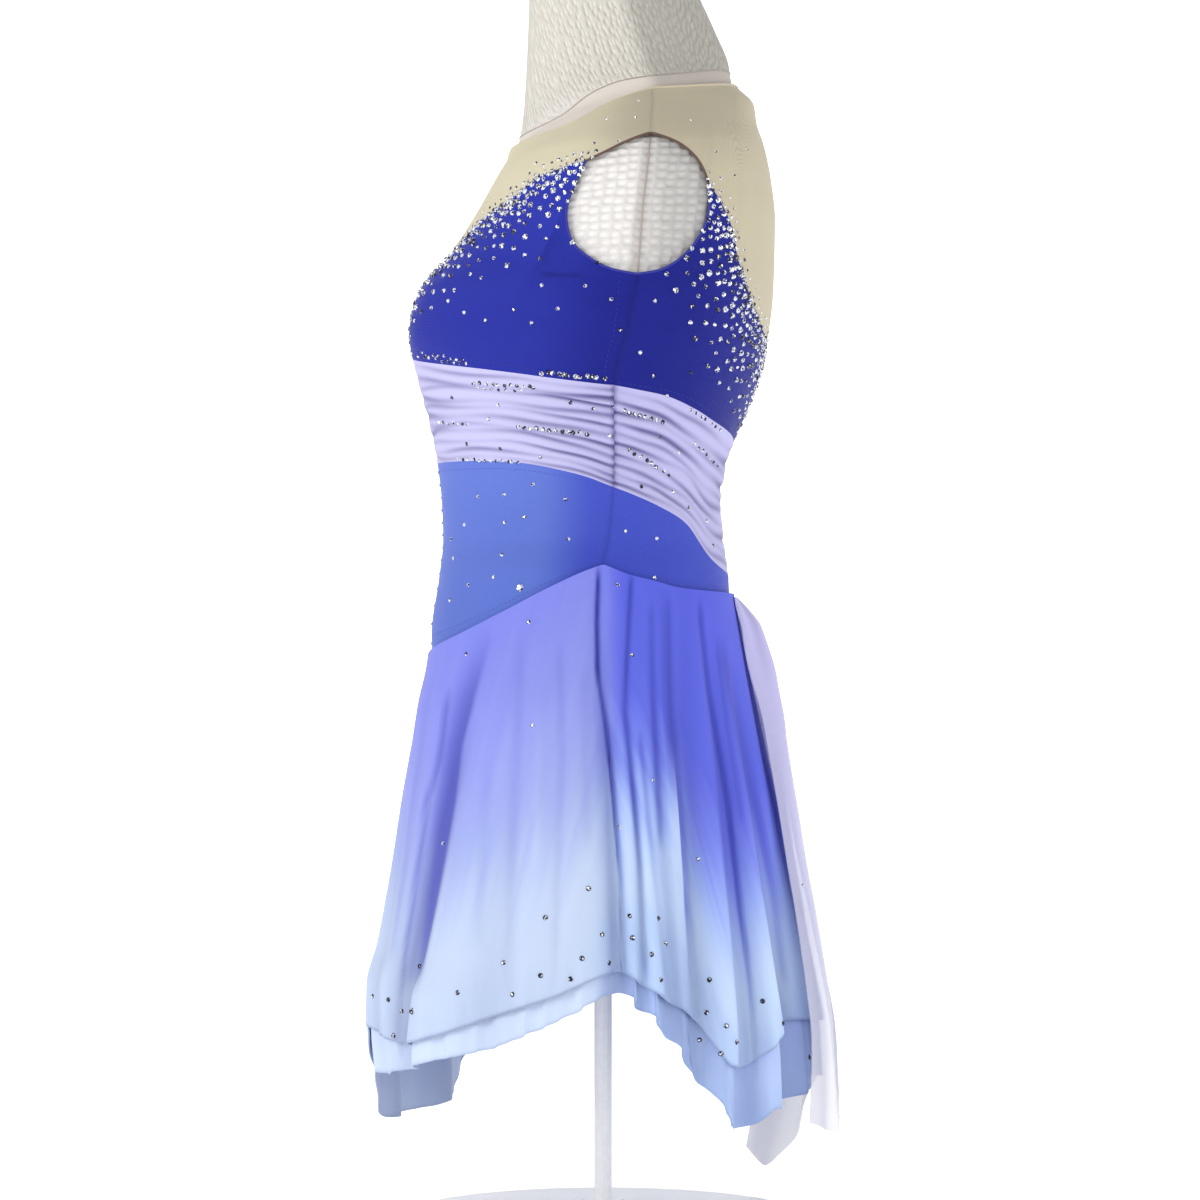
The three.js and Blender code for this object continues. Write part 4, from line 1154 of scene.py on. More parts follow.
def turned_to(normals: Array, along: Array) -> Array:
    """Rotations that stand an item's z on the cloth and lay its x along a line.

    Args:
        normals: directions out of the cloth.
        along: directions of the line.

    Returns:
        Euler angles.
    """
    up = unit(normals)
    side = unit(np.cross(up, along))
    frames = np.stack([np.cross(side, up), side, up], -1)
    return np.array([tuple(Matrix(axes.tolist()).to_euler()) for axes in frames])


@dataclass
class Crystals:
    """Flat-back crystals on the cloth, gathered piece by piece."""

    name: str
    sides: int = 8
    sink: float = 0.12
    reach_pixels: float = 2.2
    tries: int = 60000
    stones: list[tuple[Array, Array, float, float]] = field(default_factory=list)

    def add(self, place: Array, normal: Array, radius: float, shade: float) -> None:
        """Keeps one crystal."""
        self.stones.append((place - normal * self.sink, normal, radius, shade))

    def at_pixels(
        self, cloths: Sequence[Cloth], table: Sequence[Sequence[float]], sides: Sequence[int] = (1, -1)
    ) -> None:
        """Sets crystals where the photograph shows them, and alike on the other side.

        Args:
            cloths: the pieces that may carry them, the outermost first.
            table: pixel across, pixel down, radius in mm and shade of each.
            sides: 1 for the left side and -1 for the right one.
        """
        for side in sides:
            for across, down, radius, shade in table:
                for cloth in cloths:
                    points, normals = cloth.points.reshape(-1, 3), cloth.normals.reshape(-1, 3)
                    away = np.linalg.norm(seen_at(points) - (across, down), axis=-1)
                    near = (away < self.reach_pixels) & (points[:, 0] * side > 0)
                    fit = np.flatnonzero(near & (normals[:, 0] * side > 0.02))
                    if len(fit):
                        k = fit[np.argmax(points[fit, 0] * side - away[fit] * 2)]
                        self.add(points[k], normals[k], radius, shade)
                        break

    def scattered(
        self, cloth: Cloth, away: Array, reach: float, spacing: Sequence[float], radius: Sequence[float], seed: int
    ) -> None:
        """Scatters crystals that thin out away from a line.

        Args:
            cloth: the piece.
            away: distance of each of its points from the line, in mm.
            reach: the furthest distance that has crystals.
            spacing: least distance between two of them at the line and at the reach.
            radius: least and largest radius.
            seed: start of the random numbers.
        """
        chance = np.random.default_rng(seed)
        columns, rows = cloth.points.shape[:2]
        i = chance.uniform(0, columns - 1.001, self.tries)
        j = chance.uniform(0, rows - 1.001, self.tries)
        near = away[np.round(i).astype(int), np.round(j).astype(int)] < reach
        i, j = i[near], j[near]
        a, b = i.astype(int), j.astype(int)
        u, v = (i - a)[:, None], (j - b)[:, None]

        def between(grid: Array) -> Array:
            """Values of a grid between its points."""
            low = grid[a, b] * (1 - u) + grid[a + 1, b] * u
            return low * (1 - v) + (grid[a, b + 1] * (1 - u) + grid[a + 1, b + 1] * u) * v

        points, normals = between(cloth.points), unit(between(cloth.normals))
        apart = between(away[..., None])[:, 0]
        kept: list[Array] = []
        for point, normal, distance in zip(points, normals, apart):
            share = max(distance, 0) / reach
            least = spacing[0] + (spacing[1] - spacing[0]) * share**1.5
            least *= chance.uniform(0.95, 1.35)
            if kept and np.min(np.linalg.norm(np.array(kept) - point, axis=1)) < least:
                continue
            kept.append(point)
            size = chance.uniform(*radius) * (1 - 0.15 * share)
            self.add(point, normal, size, float(chance.random() < 0.2))

    def build(self) -> None:
        """Sets all the crystals."""
        places, normals, radii, shades = (np.array(values) for values in zip(*self.stones))
        turns = turned_to(normals, np.cross(normals, (0.3, 0.2, 0.9)))
        setter = Setter(Repeat.CRYSTAL, sides=self.sides)
        setter.build(self.name, places, turns, np.stack([radii] * 3, -1), shades, CRYSTAL)


@dataclass
class Stitching:
    """Rows of stitches along seams."""

    name: str
    thread: PlainFinish
    length: float = 2.6
    pitch: float = 3.6
    width: float = 0.5
    height: float = 0.34
    rows: list[tuple[Array, Array, Array]] = field(default_factory=list)

    def run(self, path: Array, normals: Array) -> None:
        """Lays stitches along a line on the cloth.

        Args:
            path: points of the line in mm.
            normals: directions out of the cloth there.
        """
        steps = np.linalg.norm(np.diff(path, axis=0), axis=1)
        lengths = np.concatenate([[0], np.cumsum(steps)])
        marks = np.arange(self.pitch / 2, lengths[-1], self.pitch)

        def at_marks(values: Array) -> Array:
            """Values of the line at the stitches."""
            return np.stack([np.interp(marks, lengths, values[:, k]) for k in range(3)], -1)

        self.rows.append((at_marks(path), unit(at_marks(normals)), unit(at_marks(np.gradient(path, axis=0)))))

    def build(self) -> None:
        """Sets all the stitches."""
        places, normals, along = (np.concatenate(values) for values in zip(*self.rows))
        sizes = np.tile((self.length, self.width, self.height), (len(places), 1))
        setter = Setter(Repeat.STITCH, sides=6)
        setter.build(self.name, places, turned_to(normals, along), sizes, np.zeros(len(places)), self.thread)


@dataclass
class Bodice:
    """The pieces that lie on the form: yokes, bodice, sash and basque, in mm."""

    pattern: Pattern
    clearance: float = 0.4
    jersey_wall: float = 1.4
    net_wall: float = 1.2
    shell: float = 0.9
    yoke_rows: int = 34
    bodice_rows: int = 64
    sash_rows: int = 72
    basque_rows: int = 40
    side_dip: float = 0.55
    side_seam_shade: float = 0.5
    back_shade_angle: float = 66.0
    dart: tuple[float, float, float, float] = (-40.0, 662.0, -13.0, 660.5)
    # Height share at the side seam, halfway and at the centre line, depth at both ends, half width
    front_creases: Table = (
        (0.95, 0.93, 0.95, 1.0, 0.5, 0.022), (0.87, 0.83, 0.84, 1.3, 0.5, 0.026),
        (0.79, 0.76, 0.70, 1.6, 0.3, 0.02), (0.70, 0.66, 0.62, 0.9, 0.7, 0.028),
        (0.60, 0.58, 0.52, 1.1, 0.5, 0.022), (0.50, 0.48, 0.44, 0.9, 0.9, 0.03),
        (0.40, 0.40, 0.35, 1.2, 0.4, 0.022), (0.30, 0.33, 0.26, 1.1, 0.8, 0.026),
        (0.20, 0.22, 0.18, 1.4, 0.3, 0.02), (0.11, 0.12, 0.10, 1.2, 0.6, 0.022),
        (0.04, 0.05, 0.05, 0.9, 0.5, 0.02),
    )
    back_creases: Table = (
        (0.94, 0.90, 0.93, 1.0, 0.6, 0.022), (0.84, 0.80, 0.86, 1.5, 0.9, 0.026),
        (0.74, 0.70, 0.77, 1.0, 0.5, 0.02), (0.64, 0.63, 0.68, 1.9, 1.2, 0.026),
        (0.54, 0.52, 0.57, 0.9, 0.6, 0.022), (0.44, 0.45, 0.47, 1.3, 0.7, 0.024),
        (0.33, 0.33, 0.37, 1.6, 0.6, 0.022), (0.23, 0.24, 0.26, 1.0, 0.8, 0.024),
        (0.13, 0.14, 0.15, 1.4, 0.5, 0.02), (0.05, 0.05, 0.06, 1.0, 0.6, 0.02),
    )
    cloths: dict[str, Cloth] = field(default_factory=dict)

    def _panel(
        self, name: str, low: Array, high: Array, rows: int, wall: float, relief: Relief
    ) -> Cloth:
        """Lays a panel on the form between two seams.

        Args:
            name: the piece's name.
            low: places along its lower edge, from the centre line to the side.
            high: places along its upper edge.
            rows: rows of faces.
            wall: thickness of its solid.
            relief: gives height and fold mark, the painted shade of its creases, from the side share, height share
                and plain points.

        Returns:
            The cloth.
        """
        share = np.linspace(0, 1, rows + 1)[None, :, None]
        half = low[:, None] * (1 - share) + high[:, None] * share
        other = half[:0:-1].copy()
        other[..., 0] *= -1
        places = np.concatenate([other, half])
        points = self.pattern.shape.point(places[..., 0], places[..., 1])
        normals = self.pattern.shape.normal(places[..., 0], places[..., 1])
        count = len(half) - 1
        aside = np.abs(np.arange(len(places)) - count)[:, None] / count + np.zeros((1, rows + 1))
        up = np.linspace(0, 1, rows + 1)[None, :] + np.zeros((len(places), 1))
        height, fold = relief(aside, up, points)
        to_side = self._to_side(points)
        height = height - self.side_dip * bell(to_side, 1.5)
        # Painted shade along the side seam, through the fold mark.
        fold = fold + self.side_seam_shade * bell(to_side, 1.6)
        outside = points + normals * (self.clearance + wall + height)[..., None]
        # The round mark picks the darker back dye past the given angle and on the back panels: painted shade on
        # the back.
        from_front = np.degrees(np.abs(places[..., 0]))
        behind = np.maximum(smooth((from_front - self.back_shade_angle) / 22), name.endswith("back"))
        marks = {"dye": up, "fold": np.clip(fold, 0, 1), "round": behind}
        cloth = Cloth(name, outside, grid_normals(outside, normals), self.shell, marks)
        self.cloths[name] = cloth
        return cloth

    def _to_side(self, points: Array) -> Array:
        """Distance of each point from the nearer side edge, along its row."""
        steps = np.linalg.norm(np.diff(points, axis=0), axis=-1)
        from_start = np.concatenate([np.zeros((1, steps.shape[1])), np.cumsum(steps, axis=0)])
        return np.minimum(from_start, from_start[-1:] - from_start)

    def _plain(self, aside: Array, up: Array, points: Array) -> tuple[Array, Array]:
        """Smooth cloth."""
        return np.zeros(aside.shape), np.zeros(aside.shape)

    def _darted(self, aside: Array, up: Array, points: Array) -> tuple[Array, Array]:
        """Cloth with a bust dart on each side and faint strain lines."""
        y_start, z_start, y_end, z_end = self.dart
        share = (points[..., 1] - y_start) / (y_end - y_start)
        line = z_start + (z_end - z_start) * np.clip(share, 0, 1)
        across = bell(points[..., 2] - line, 1.5)
        along = smooth((share + 0.15) / 0.3) * smooth((1.15 - share) / 0.3)
        dip = across * along * (points[..., 1] < 0)
        strain = 0.25 * np.sin(points[..., 2] * 0.21 + points[..., 1] * 0.07) * smooth(aside * 1.6 - 0.5)
        # The dart's fold mark paints shade into it.
        return strain - 0.8 * dip, 0.55 * dip

    def _ruched(self, creases: Table, seed: int) -> Relief:
        """Cloth with creases that run together at the side seams.

        Args:
            creases: the listed creases.
            seed: start of the random numbers that make the two sides differ a little.

        Returns:
            The relief.
        """
        chance = np.random.default_rng(seed)
        shifts = chance.uniform(-0.018, 0.018, (len(creases), 2))
        waves = chance.uniform(0, 6.28, (len(creases), 3))

        def relief(aside: Array, up: Array, points: Array) -> tuple[Array, Array]:
            """Height and fold mark of the ruched cloth."""
            inward, off_centre = 1 - aside, smooth(aside * 4)
            is_right = points[..., 0] < 0
            puff = 0.9 * np.sin(np.clip(up, 0, 1) * math.pi) ** 0.5
            height, fold = puff, np.zeros(aside.shape)
            for (*line, side_depth, centre_depth, half_width), shift, wave in zip(creases, shifts, waves):
                middle = Monotone((0, 0.5, 1), line)(inward)
                middle = middle + np.where(is_right, shift[0], shift[1]) * smooth(inward * 4) * off_centre
                middle = middle + 0.012 * np.sin(inward * 14 + wave[0]) * smooth(inward * 3)
                depth = side_depth * (1 - inward) ** 1.5 + centre_depth * smooth(inward)
                depth = depth * (0.62 + 0.38 * np.sin(inward * 9 + wave[1] + is_right * 1.7 * off_centre))
                width = half_width * (0.8 + 0.5 * inward)
                trough = bell(up - middle, width)
                ridge = bell(up - middle - width * 1.9, width * 1.5)
                height = height - depth * trough * 1.15 + depth * ridge * 0.5
                # The fold mark paints shade into each trough.
                fold = fold + trough * np.clip(depth / 1.1, 0, 1)
            gather = np.exp(-inward / 0.05)
            pucker = np.sin(up * 72 + 9 * np.sin(up * 5))
            height = height + 0.55 * gather * pucker + 0.5 * bell(np.minimum(up, 1 - up), 0.03) - 0.2
            # The gathers at the centre line get painted shade in their hollows.
            return height, fold + 0.25 * gather * (0.5 - 0.5 * pucker)

        return relief

    def build(self) -> None:
        """Makes all the pieces."""
        make = self.pattern
        net, jersey = self.net_wall, self.jersey_wall
        reliefs = {
            "bodice_front": self._darted,
            "sash_front": self._ruched(self.front_creases, 11),
            "sash_back": self._ruched(self.back_creases, 23),
        }
        for label, low, high, finish, slot, rows, wall in (
            ("yoke", "over", "neck", YOKE_NET, "nude_mesh", self.yoke_rows, net),
            ("bodice", "sash_top", "under", ROYAL_JERSEY, "royal_jersey", self.bodice_rows, jersey),
            ("sash", "sash_low", "sash_top", SASH_NET, "lavender_mesh", self.sash_rows, net),
            ("basque", "skirt", "sash_low", PERIWINKLE_JERSEY, "periwinkle_jersey", self.basque_rows, jersey),
        ):
            for half in ("front", "back"):
                lines = {
                    "neck": make.to_neck(f"neck_{half}"),
                    "over": make.along_arm(f"edge_{half}", f"over_{half}", make.overarm_columns),
                    "under": make.along_arm(f"edge_{half}", f"under_{half}", make.underarm_columns),
                    "sash_top": make.to_waist(f"sash_top_{half}"),
                    "sash_low": make.to_waist(f"sash_low_{half}"),
                    "skirt": make.to_waist(f"skirt_{half}"),
                }
                name = f"{label}_{half}"
                relief = reliefs.get(name, self._plain)
                wear(self._panel(name, lines[low], lines[high], rows, wall, relief), finish, slot)

    def arm_paths(self, right: bool) -> dict[str, tuple[Array, Array]]:
        """Lines round one armhole, on the yoke's part and on the bodice's part.

        Args:
            right: whether it is the right armhole.

        Returns:
            Points and directions out of the cloth of each part.
        """
        edge = self.pattern.edge_columns * self.pattern.fineness

        def part(name: str, row: int) -> tuple[Array, Array]:
            """The armhole's part of a piece's edge, from the bodice edge on."""
            cloth = self.cloths[name]
            middle = len(cloth.points) // 2
            columns = np.arange(middle + edge, len(cloth.points))
            if right:
                columns = 2 * middle - columns
            return cloth.points[columns, row], cloth.normals[columns, row]

        found = {}
        for label, row in (("yoke", 0), ("bodice", -1)):
            front, back = part(f"{label}_front", row), part(f"{label}_back", row)
            found[label] = tuple(np.concatenate([a, b[::-1][1:]]) for a, b in zip(front, back))
        return found

    def neck_path(self) -> tuple[Array, Array]:
        """Line round the neckline and its directions out of the cloth."""
        front, back = self.cloths["yoke_front"], self.cloths["yoke_back"]
        points = np.concatenate([front.points[:, -1], back.points[::-1, -1][1:-1]])
        normals = np.concatenate([front.normals[:, -1], back.normals[::-1, -1][1:-1]])
        return points, normals


@dataclass(frozen=True)
class Drape:
    """A crease of the skirt, down a line of the photograph's pixels."""

    line: tuple[tuple[float, float], ...]
    half_width: float
    depth: float
    # tint adds painted shade to the crease; the shift darkens the ombre in a trough as painted shade and lightens
    # it on a raised tube as painted highlight.
    tint: float = 0.0
    painted_light_shift: float = 0.0
    hard_side: int = 0

    def trough(self, sight: Array, is_right: Array) -> Array:
        """Share of the full depth at each point.

        Args:
            sight: the pixel where each point is seen, mirrored on the right side.
            is_right: which points are on the right side.

        Returns:
            The shares.
        """
        across, down = np.array(self.line).T
        height = sight[..., 1]
        wander = 5 * math.sin(across[0]) + 3 * np.sin(height / 60 + across[0])
        middle = np.interp(height, down, across) + np.where(is_right, wander, 0)
        away = (sight[..., 0] - middle) / self.half_width
        away = np.where(away * self.hard_side > 0, away * 2.6, away)
        fade = smooth((height - down[0]) / (8 * self.half_width) + 0.3) * smooth((down[-1] - height) / 34)
        return bell(away, 1) * fade


@dataclass
class Skirt:
    """The two skirt layers, in mm: the outline of the crests, the folds and the hems."""

    pattern: Pattern
    step_degrees: float = 0.42
    under_step_degrees: float = 0.62
    rows: int = 84
    under_rows: int = 88
    shell: float = 0.8
    skirt_out: float = 5.2
    under_seam_drop: float = 1.6
    under_drop: float = 4.2
    squareness: float = 2.1
    seam_blend: float = 0.3
    # z, front y, back y, side x
    outline: Table = (
        (30, -162, 161, 211), (110, -163, 158, 208), (150, -166, 155, 205), (178, -165.5, 150, 201),
        (206, -158, 144, 197), (234, -152.5, 138, 192), (262, -147.5, 131.5, 188), (304, -141, 122.5, 180),
        (346, -134, 113, 170), (374, -131.5, 107, 163), (400, -127, 102, 155), (430, -124, 97, 146),
        (475, -117, 90, 133),
    )
    # angle at the seam, angle at the hem, half width, depth at the hem, start as a share of the length
    folds: Table = (
        (12, 14, 5, 7, 0.35), (48, 29, 6, 16, 0.08), (68, 62, 7, 5, 0.4), (90, 94, 3.5, 15, 0),
        (99, 100.5, 2.2, 8, 0.2), (107, 108.5, 3.5, 12, 0.1), (120, 116, 4.5, 15, 0.05),
        (137, 131, 5, 17, 0.05), (153, 149, 5, 17, 0.12), (171, 168, 5, 14, 0.15), (202, 203, 5, 15, 0.15),
        (221, 223, 5.5, 16, 0.08), (238, 239, 5, 16, 0.05), (254, 253, 4.5, 14, 0.1),
        (270, 266, 3.5, 15, 0), (297, 298, 7, 9, 0.3), (320, 322, 6, 15, 0.12), (346, 348, 5, 9, 0.35),
    )
    # angle at the hem, outer hem z, under hem z
    hems: Table = (
        (4, 149, 116), (14, 147, 118), (29, 144, 126), (47, 154, 138), (62, 168, 148), (78, 183, 166),
        (94, 200, 186), (101, 190, 173), (107, 181, 160), (116, 167, 130), (123, 137, 104), (131, 134, 93),
        (140, 150, 104), (149, 160, 106), (168, 155, 116), (185, 150, 112), (203, 158, 112),
        (223, 140, 104), (232, 134, 108), (239, 146, 124), (248, 172, 150), (257, 188, 168),
        (266, 202, 190), (282, 192, 176), (298, 166, 146), (308, 134, 112), (316, 106, 86), (330, 95, 76),
        (350, 96, 78), (357, 118, 84),
    )
    drapes: tuple[Drape, ...] = (
        Drape(((598, 566), (596, 620), (597, 690)), 3.6, 3.0, 1.0, 0.25, -1),
        Drape(((609, 575), (608, 640), (612, 740)), 5, -0.8, 0.0, -0.06),
        Drape(((595, 660), (605, 725), (612, 785), (620, 880), (623, 1000)), 3.2, 2.0, 0.8, 0.1, -1),
        Drape(((632, 570), (625, 710), (640, 860), (647, 990)), 3.2, 1.8, 0.65, 0.08),
        Drape(((651, 600), (653, 700), (662, 860)), 3.5, 1.0, 0.35, 0.05),
        Drape(((640, 730), (652, 850), (664, 960), (674, 1060)), 3, 1.2, 0.4, 0.04),
        Drape(((665, 590), (671, 710), (680, 810), (687, 910), (692, 985), (702, 1090)), 4, 2.2, 0.85, 0.12, -1),
        Drape(((673, 730), (676, 800), (681, 910)), 7, -0.9, 0.0, -0.1),
        Drape(((700, 600), (710, 690), (730, 810), (742, 910), (752, 985), (757, 1090)), 4, 2.0, 0.7, 0.08, 1),
        Drape(((716, 640), (728, 730), (744, 830)), 3, 0.9, 0.3, 0.03),
        Drape(((722, 640), (742, 740), (762, 830), (775, 900), (788, 1000)), 5, 1.6, 0.6, 0.12),
        Drape(((763, 690), (775, 770), (790, 870), (802, 960)), 6, 0.8, 0.35, 0.1),
        Drape(((487, 640), (470, 695), (457, 745), (450, 800), (437, 870), (412, 1000)), 13, 2.2, 0.7, 0.24, 1),
        Drape(((447, 690), (437, 760), (425, 800), (417, 860), (402, 960), (393, 1080)), 4, 1.8, 0.5, 0.12, -1),
        Drape(((424, 680), (416, 760), (406, 830), (388, 980)), 7, 1.0, 0.35, 0.14),
        Drape(((436, 830), (424, 900), (412, 1000)), 5, -0.8, 0.0, -0.12),
        Drape(((561, 640), (563, 760), (558, 900), (556, 1010)), 5, 0.7, 0.12, 0.02),
        Drape(((522, 640), (517, 760), (511, 900), (508, 1010)), 6, 0.7, 0.12, 0.03),
        Drape(((585, 660), (586, 760), (588, 860)), 6, 0.6, 0.14, 0.02),
        Drape(((490, 760), (482, 860), (477, 960)), 6, 0.6, 0.1, 0.02),
        Drape(((541, 700), (538, 800), (536, 880)), 5, -0.5, 0.0, -0.03),
    )
    side_folds: tuple[int, int] = (3, 14)
    dye_length: float = 400.0
    early_pale: float = 0.11
    early_angle: float = 106.0
    soft_seed: int = 31
    soft_count: int = 46
    # Shares of the length at which the rows near the hem lie, for its darker line
    hem_rows: tuple[float, ...] = (1, 0.9975, 0.995, 0.9915)
    hem_line: float = 0.9
    cloths: dict[str, Cloth] = field(default_factory=dict)

    def __post_init__(self) -> None:
        """Makes the smooth curves of the tables and the faint folds between the main ones."""
        self.front_y, self.back_y, self.side_x = (curve(self.outline, k) for k in (1, 2, 3))
        self.outer_hem, self.under_hem = (round_curve(self.hems, k) for k in (1, 2))
        chance = np.random.default_rng(self.soft_seed)
        ranges = ((0, 360), (1.3, 3.2), (0.5, 1.9))
        self.soft_folds = np.stack([chance.uniform(*ends, self.soft_count) for ends in ranges], -1)

    def outline_point(self, angle: Array, z: Array) -> Array:
        """Points on the outline of the crests.

        Args:
            angle: angles in radians.
            z: heights.

        Returns:
            The points.
        """
        power = 2 / self.squareness
        ahead, aside = np.cos(angle), np.sin(angle)
        end_y = np.where(ahead > 0, self.front_y(z), self.back_y(z))
        x = self.side_x(z) * np.sign(aside) * np.abs(aside) ** power
        return np.stack([x, end_y * np.abs(ahead) ** power, z + np.zeros(x.shape)], -1)

    def outward(self, angle: Array, z: Array) -> Array:
        """Level directions straight out of the outline."""
        step = math.radians(0.5)
        along = self.outline_point(angle + step, z) - self.outline_point(angle - step, z)
        return unit(np.stack([along[..., 1], -along[..., 0], np.zeros(along.shape[:-1])], -1))

    def fold_depth(self, degrees: Array, share: Array) -> Array:
        """Depth of the main folds below the crests."""
        depth = np.zeros(np.broadcast(degrees, share).shape)
        for seam_angle, hem_angle, half_width, full_depth, start in self.folds:
            middle = seam_angle + (hem_angle - seam_angle) * share
            away = (degrees - middle + 540) % 360 - 180
            grown = np.clip((share - start) / (1 - start), 0, 1) ** 0.8
            depth = depth + full_depth * grown * bell(away, half_width)
        return depth

    def soft_depth(self, degrees: Array, share: Array) -> Array:
        """Depth of the faint folds and of the hem's small waves."""
        depth = np.zeros(np.broadcast(degrees, share).shape)
        grown = np.clip(share, 0, 1.2) ** 1.4
        for middle, half_width, full_depth in self.soft_folds:
            away = (degrees - middle - 5 * share + 540) % 360 - 180
            depth = depth + full_depth * grown * bell(away, half_width)
        curl = smooth((share - 0.86) / 0.2)
        wave = np.sin(np.radians(degrees) * 47 + 2 * np.sin(np.radians(degrees) * 5))
        return depth + 1.1 * curl * wave + 0.7 * curl * np.sin(np.radians(degrees) * 83)

    def _columns(self, start: int, end: int, step: float) -> tuple[Array, Array]:
        """Angles at the seam and at the hem of a panel's columns.

        Args:
            start: number of the fold that it starts on.
            end: number of the fold that it ends on.
            step: degrees from column to column at the hem.

        Returns:
            The angles at the seam and at the hem, in degrees.
        """
        seam_knots, hem_knots = [], []
        count = len(self.folds)
        for k in range(start, end + 1):
            seam_angle, hem_angle, half_width = self.folds[k % count][:3]
            turn = 360 * (k // count)
            for side in (-1, 0, 1):
                if (k == start and side < 0) or (k == end and side > 0):
                    continue
                seam_knots.append(seam_angle + side * half_width + turn)
                hem_knots.append(hem_angle + side * half_width + turn)
        steps = int((hem_knots[-1] - hem_knots[0]) / step)
        at_hem = np.linspace(hem_knots[0], hem_knots[-1], steps + 1)
        return np.interp(at_hem, hem_knots, seam_knots), at_hem

    def seam_points(self, degrees: Array) -> Array:
        """Points on the outside of the outer layer at the skirt seam.

        Args:
            degrees: angles round the waist.

        Returns:
            The points.
        """
        angle = np.radians(degrees)
        folded = np.abs(np.arctan2(np.sin(angle), np.cos(angle)))
        shares = np.linspace(0, 1, 401)
        front, back = (self.pattern.seams[f"skirt_{half}"](shares) for half in ("front", "back"))
        line = np.concatenate([front, back[::-1][1:]])
        ring = np.interp(folded, np.maximum.accumulate(line[:, 0]), line[:, 1])
        shape = self.pattern.shape
        return shape.point(angle, ring) + shape.normal(angle, ring) * self.skirt_out

    def _layer(self, name: str, start: int, end: int, under: bool) -> Cloth:
        """Makes one panel of one layer.

        Args:
            name: the piece's name.
            start: number of the fold that it starts on.
            end: number of the fold that it ends on.
            under: whether it is the under layer.

        Returns:
            The cloth.
        """
        at_seam, at_hem = self._columns(start, end, self.under_step_degrees if under else self.step_degrees)
        top = self.seam_points(at_seam)
        length = top[:, 2] - self.outer_hem(at_hem)
        hem_z = self.under_hem(at_hem) if under else self.outer_hem(at_hem)
        rows = self.under_rows if under else self.rows
        part = np.concatenate([self.hem_rows, np.linspace(0.986, 0, rows - 3)])[None, :]
        z = top[:, 2:3] - part * (top[:, 2] - hem_z)[:, None]
        share = (top[:, 2:3] - z) / length[:, None]
        degrees = at_seam[:, None] + (at_hem - at_seam)[:, None] * share
        angle = np.radians(degrees)
        depth = self.fold_depth(degrees, share)
        soft = self.soft_depth(degrees + (9 if under else 0), share)
        out = self.outward(angle, z)
        points = self.outline_point(angle, z) - out * (depth + 0.8 * soft * smooth(share * 2))[..., None]
        first = self.outline_point(np.radians(at_seam), top[:, 2])
        pull = 1 - smooth(share / self.seam_blend)
        points[..., :2] += (top - first)[:, None, :2] * pull[..., None]
        sight, is_right = seen_at(points), points[..., 0] < 0
        # Each drape adds painted shade to its trough and moves the ombre darker in its trough as painted shade and
        # paler on a ridge as painted highlight.
        tint, painted_light_shift = np.zeros(z.shape), np.zeros(z.shape)
        turned = smooth((np.abs(out[..., 0]) - 0.15) / 0.35)
        for drape in self.drapes:
            trough = drape.trough(sight, is_right) * turned
            points = points - out * (trough * drape.depth)[..., None]
            tint, painted_light_shift = tint + trough * drape.tint, painted_light_shift + trough * drape.painted_light_shift
        number = np.arange(len(points))
        inside = smooth(np.minimum(number, number[::-1]) / 5)[:, None, None]
        normals = unit(grid_normals(points) * inside + out * (1 - inside))
        if under:
            drop = self.under_seam_drop + (self.under_drop - self.under_seam_drop) * smooth(2 * part)
            points = points - normals * drop[..., None]
        above = z - hem_z[:, None]
        circle = np.abs((degrees + 180) % 360 - 180)
        hem_line = self.hem_line * bell(above, 1.5)
        early = self.early_pale * bell(circle - self.early_angle, 17)
        # Marks: dye is the ombre with the drapes' painted shade and highlight; fold is painted shade in the folds
        # and drapes, with a darker line along the hem; round picks the back dye with its painted shade.
        marks = {
            "dye": np.clip(above / self.dye_length + painted_light_shift - early, 0, 1),
            "fold": np.clip(depth / 15 * smooth(share * 2.5) + tint + hem_line, 0, 1),
            "round": smooth((circle - SIDE_LIGHT_ANGLE) / 14),
        }
        self.cloths[name] = Cloth(name, points, normals, self.shell, marks)
        return self.cloths[name]

    def build(self) -> None:
        """Makes the two layers, front and back, from side fold to side fold."""
        left, right = self.side_folds
        for side, start, end in (("front", right, left + len(self.folds)), ("back", left, right)):
            wear(self._layer(f"skirt_{side}", start, end, False), SKIRT_MESH, "ombre_mesh")
            wear(self._layer(f"underskirt_{side}", start, end, True), UNDER_MESH, "pale_mesh")


@dataclass(frozen=True)
class Tail:
    """One tail, by its angles at the waist and at the tip, in degrees, and its tip and hem, in mm."""

    name: str
    top_angle: float
    tip_angle: float
    top_half: float
    tip_half: float
    tip_z: float
    tip_aside: float
    hem_rise: float
    outer_side: float


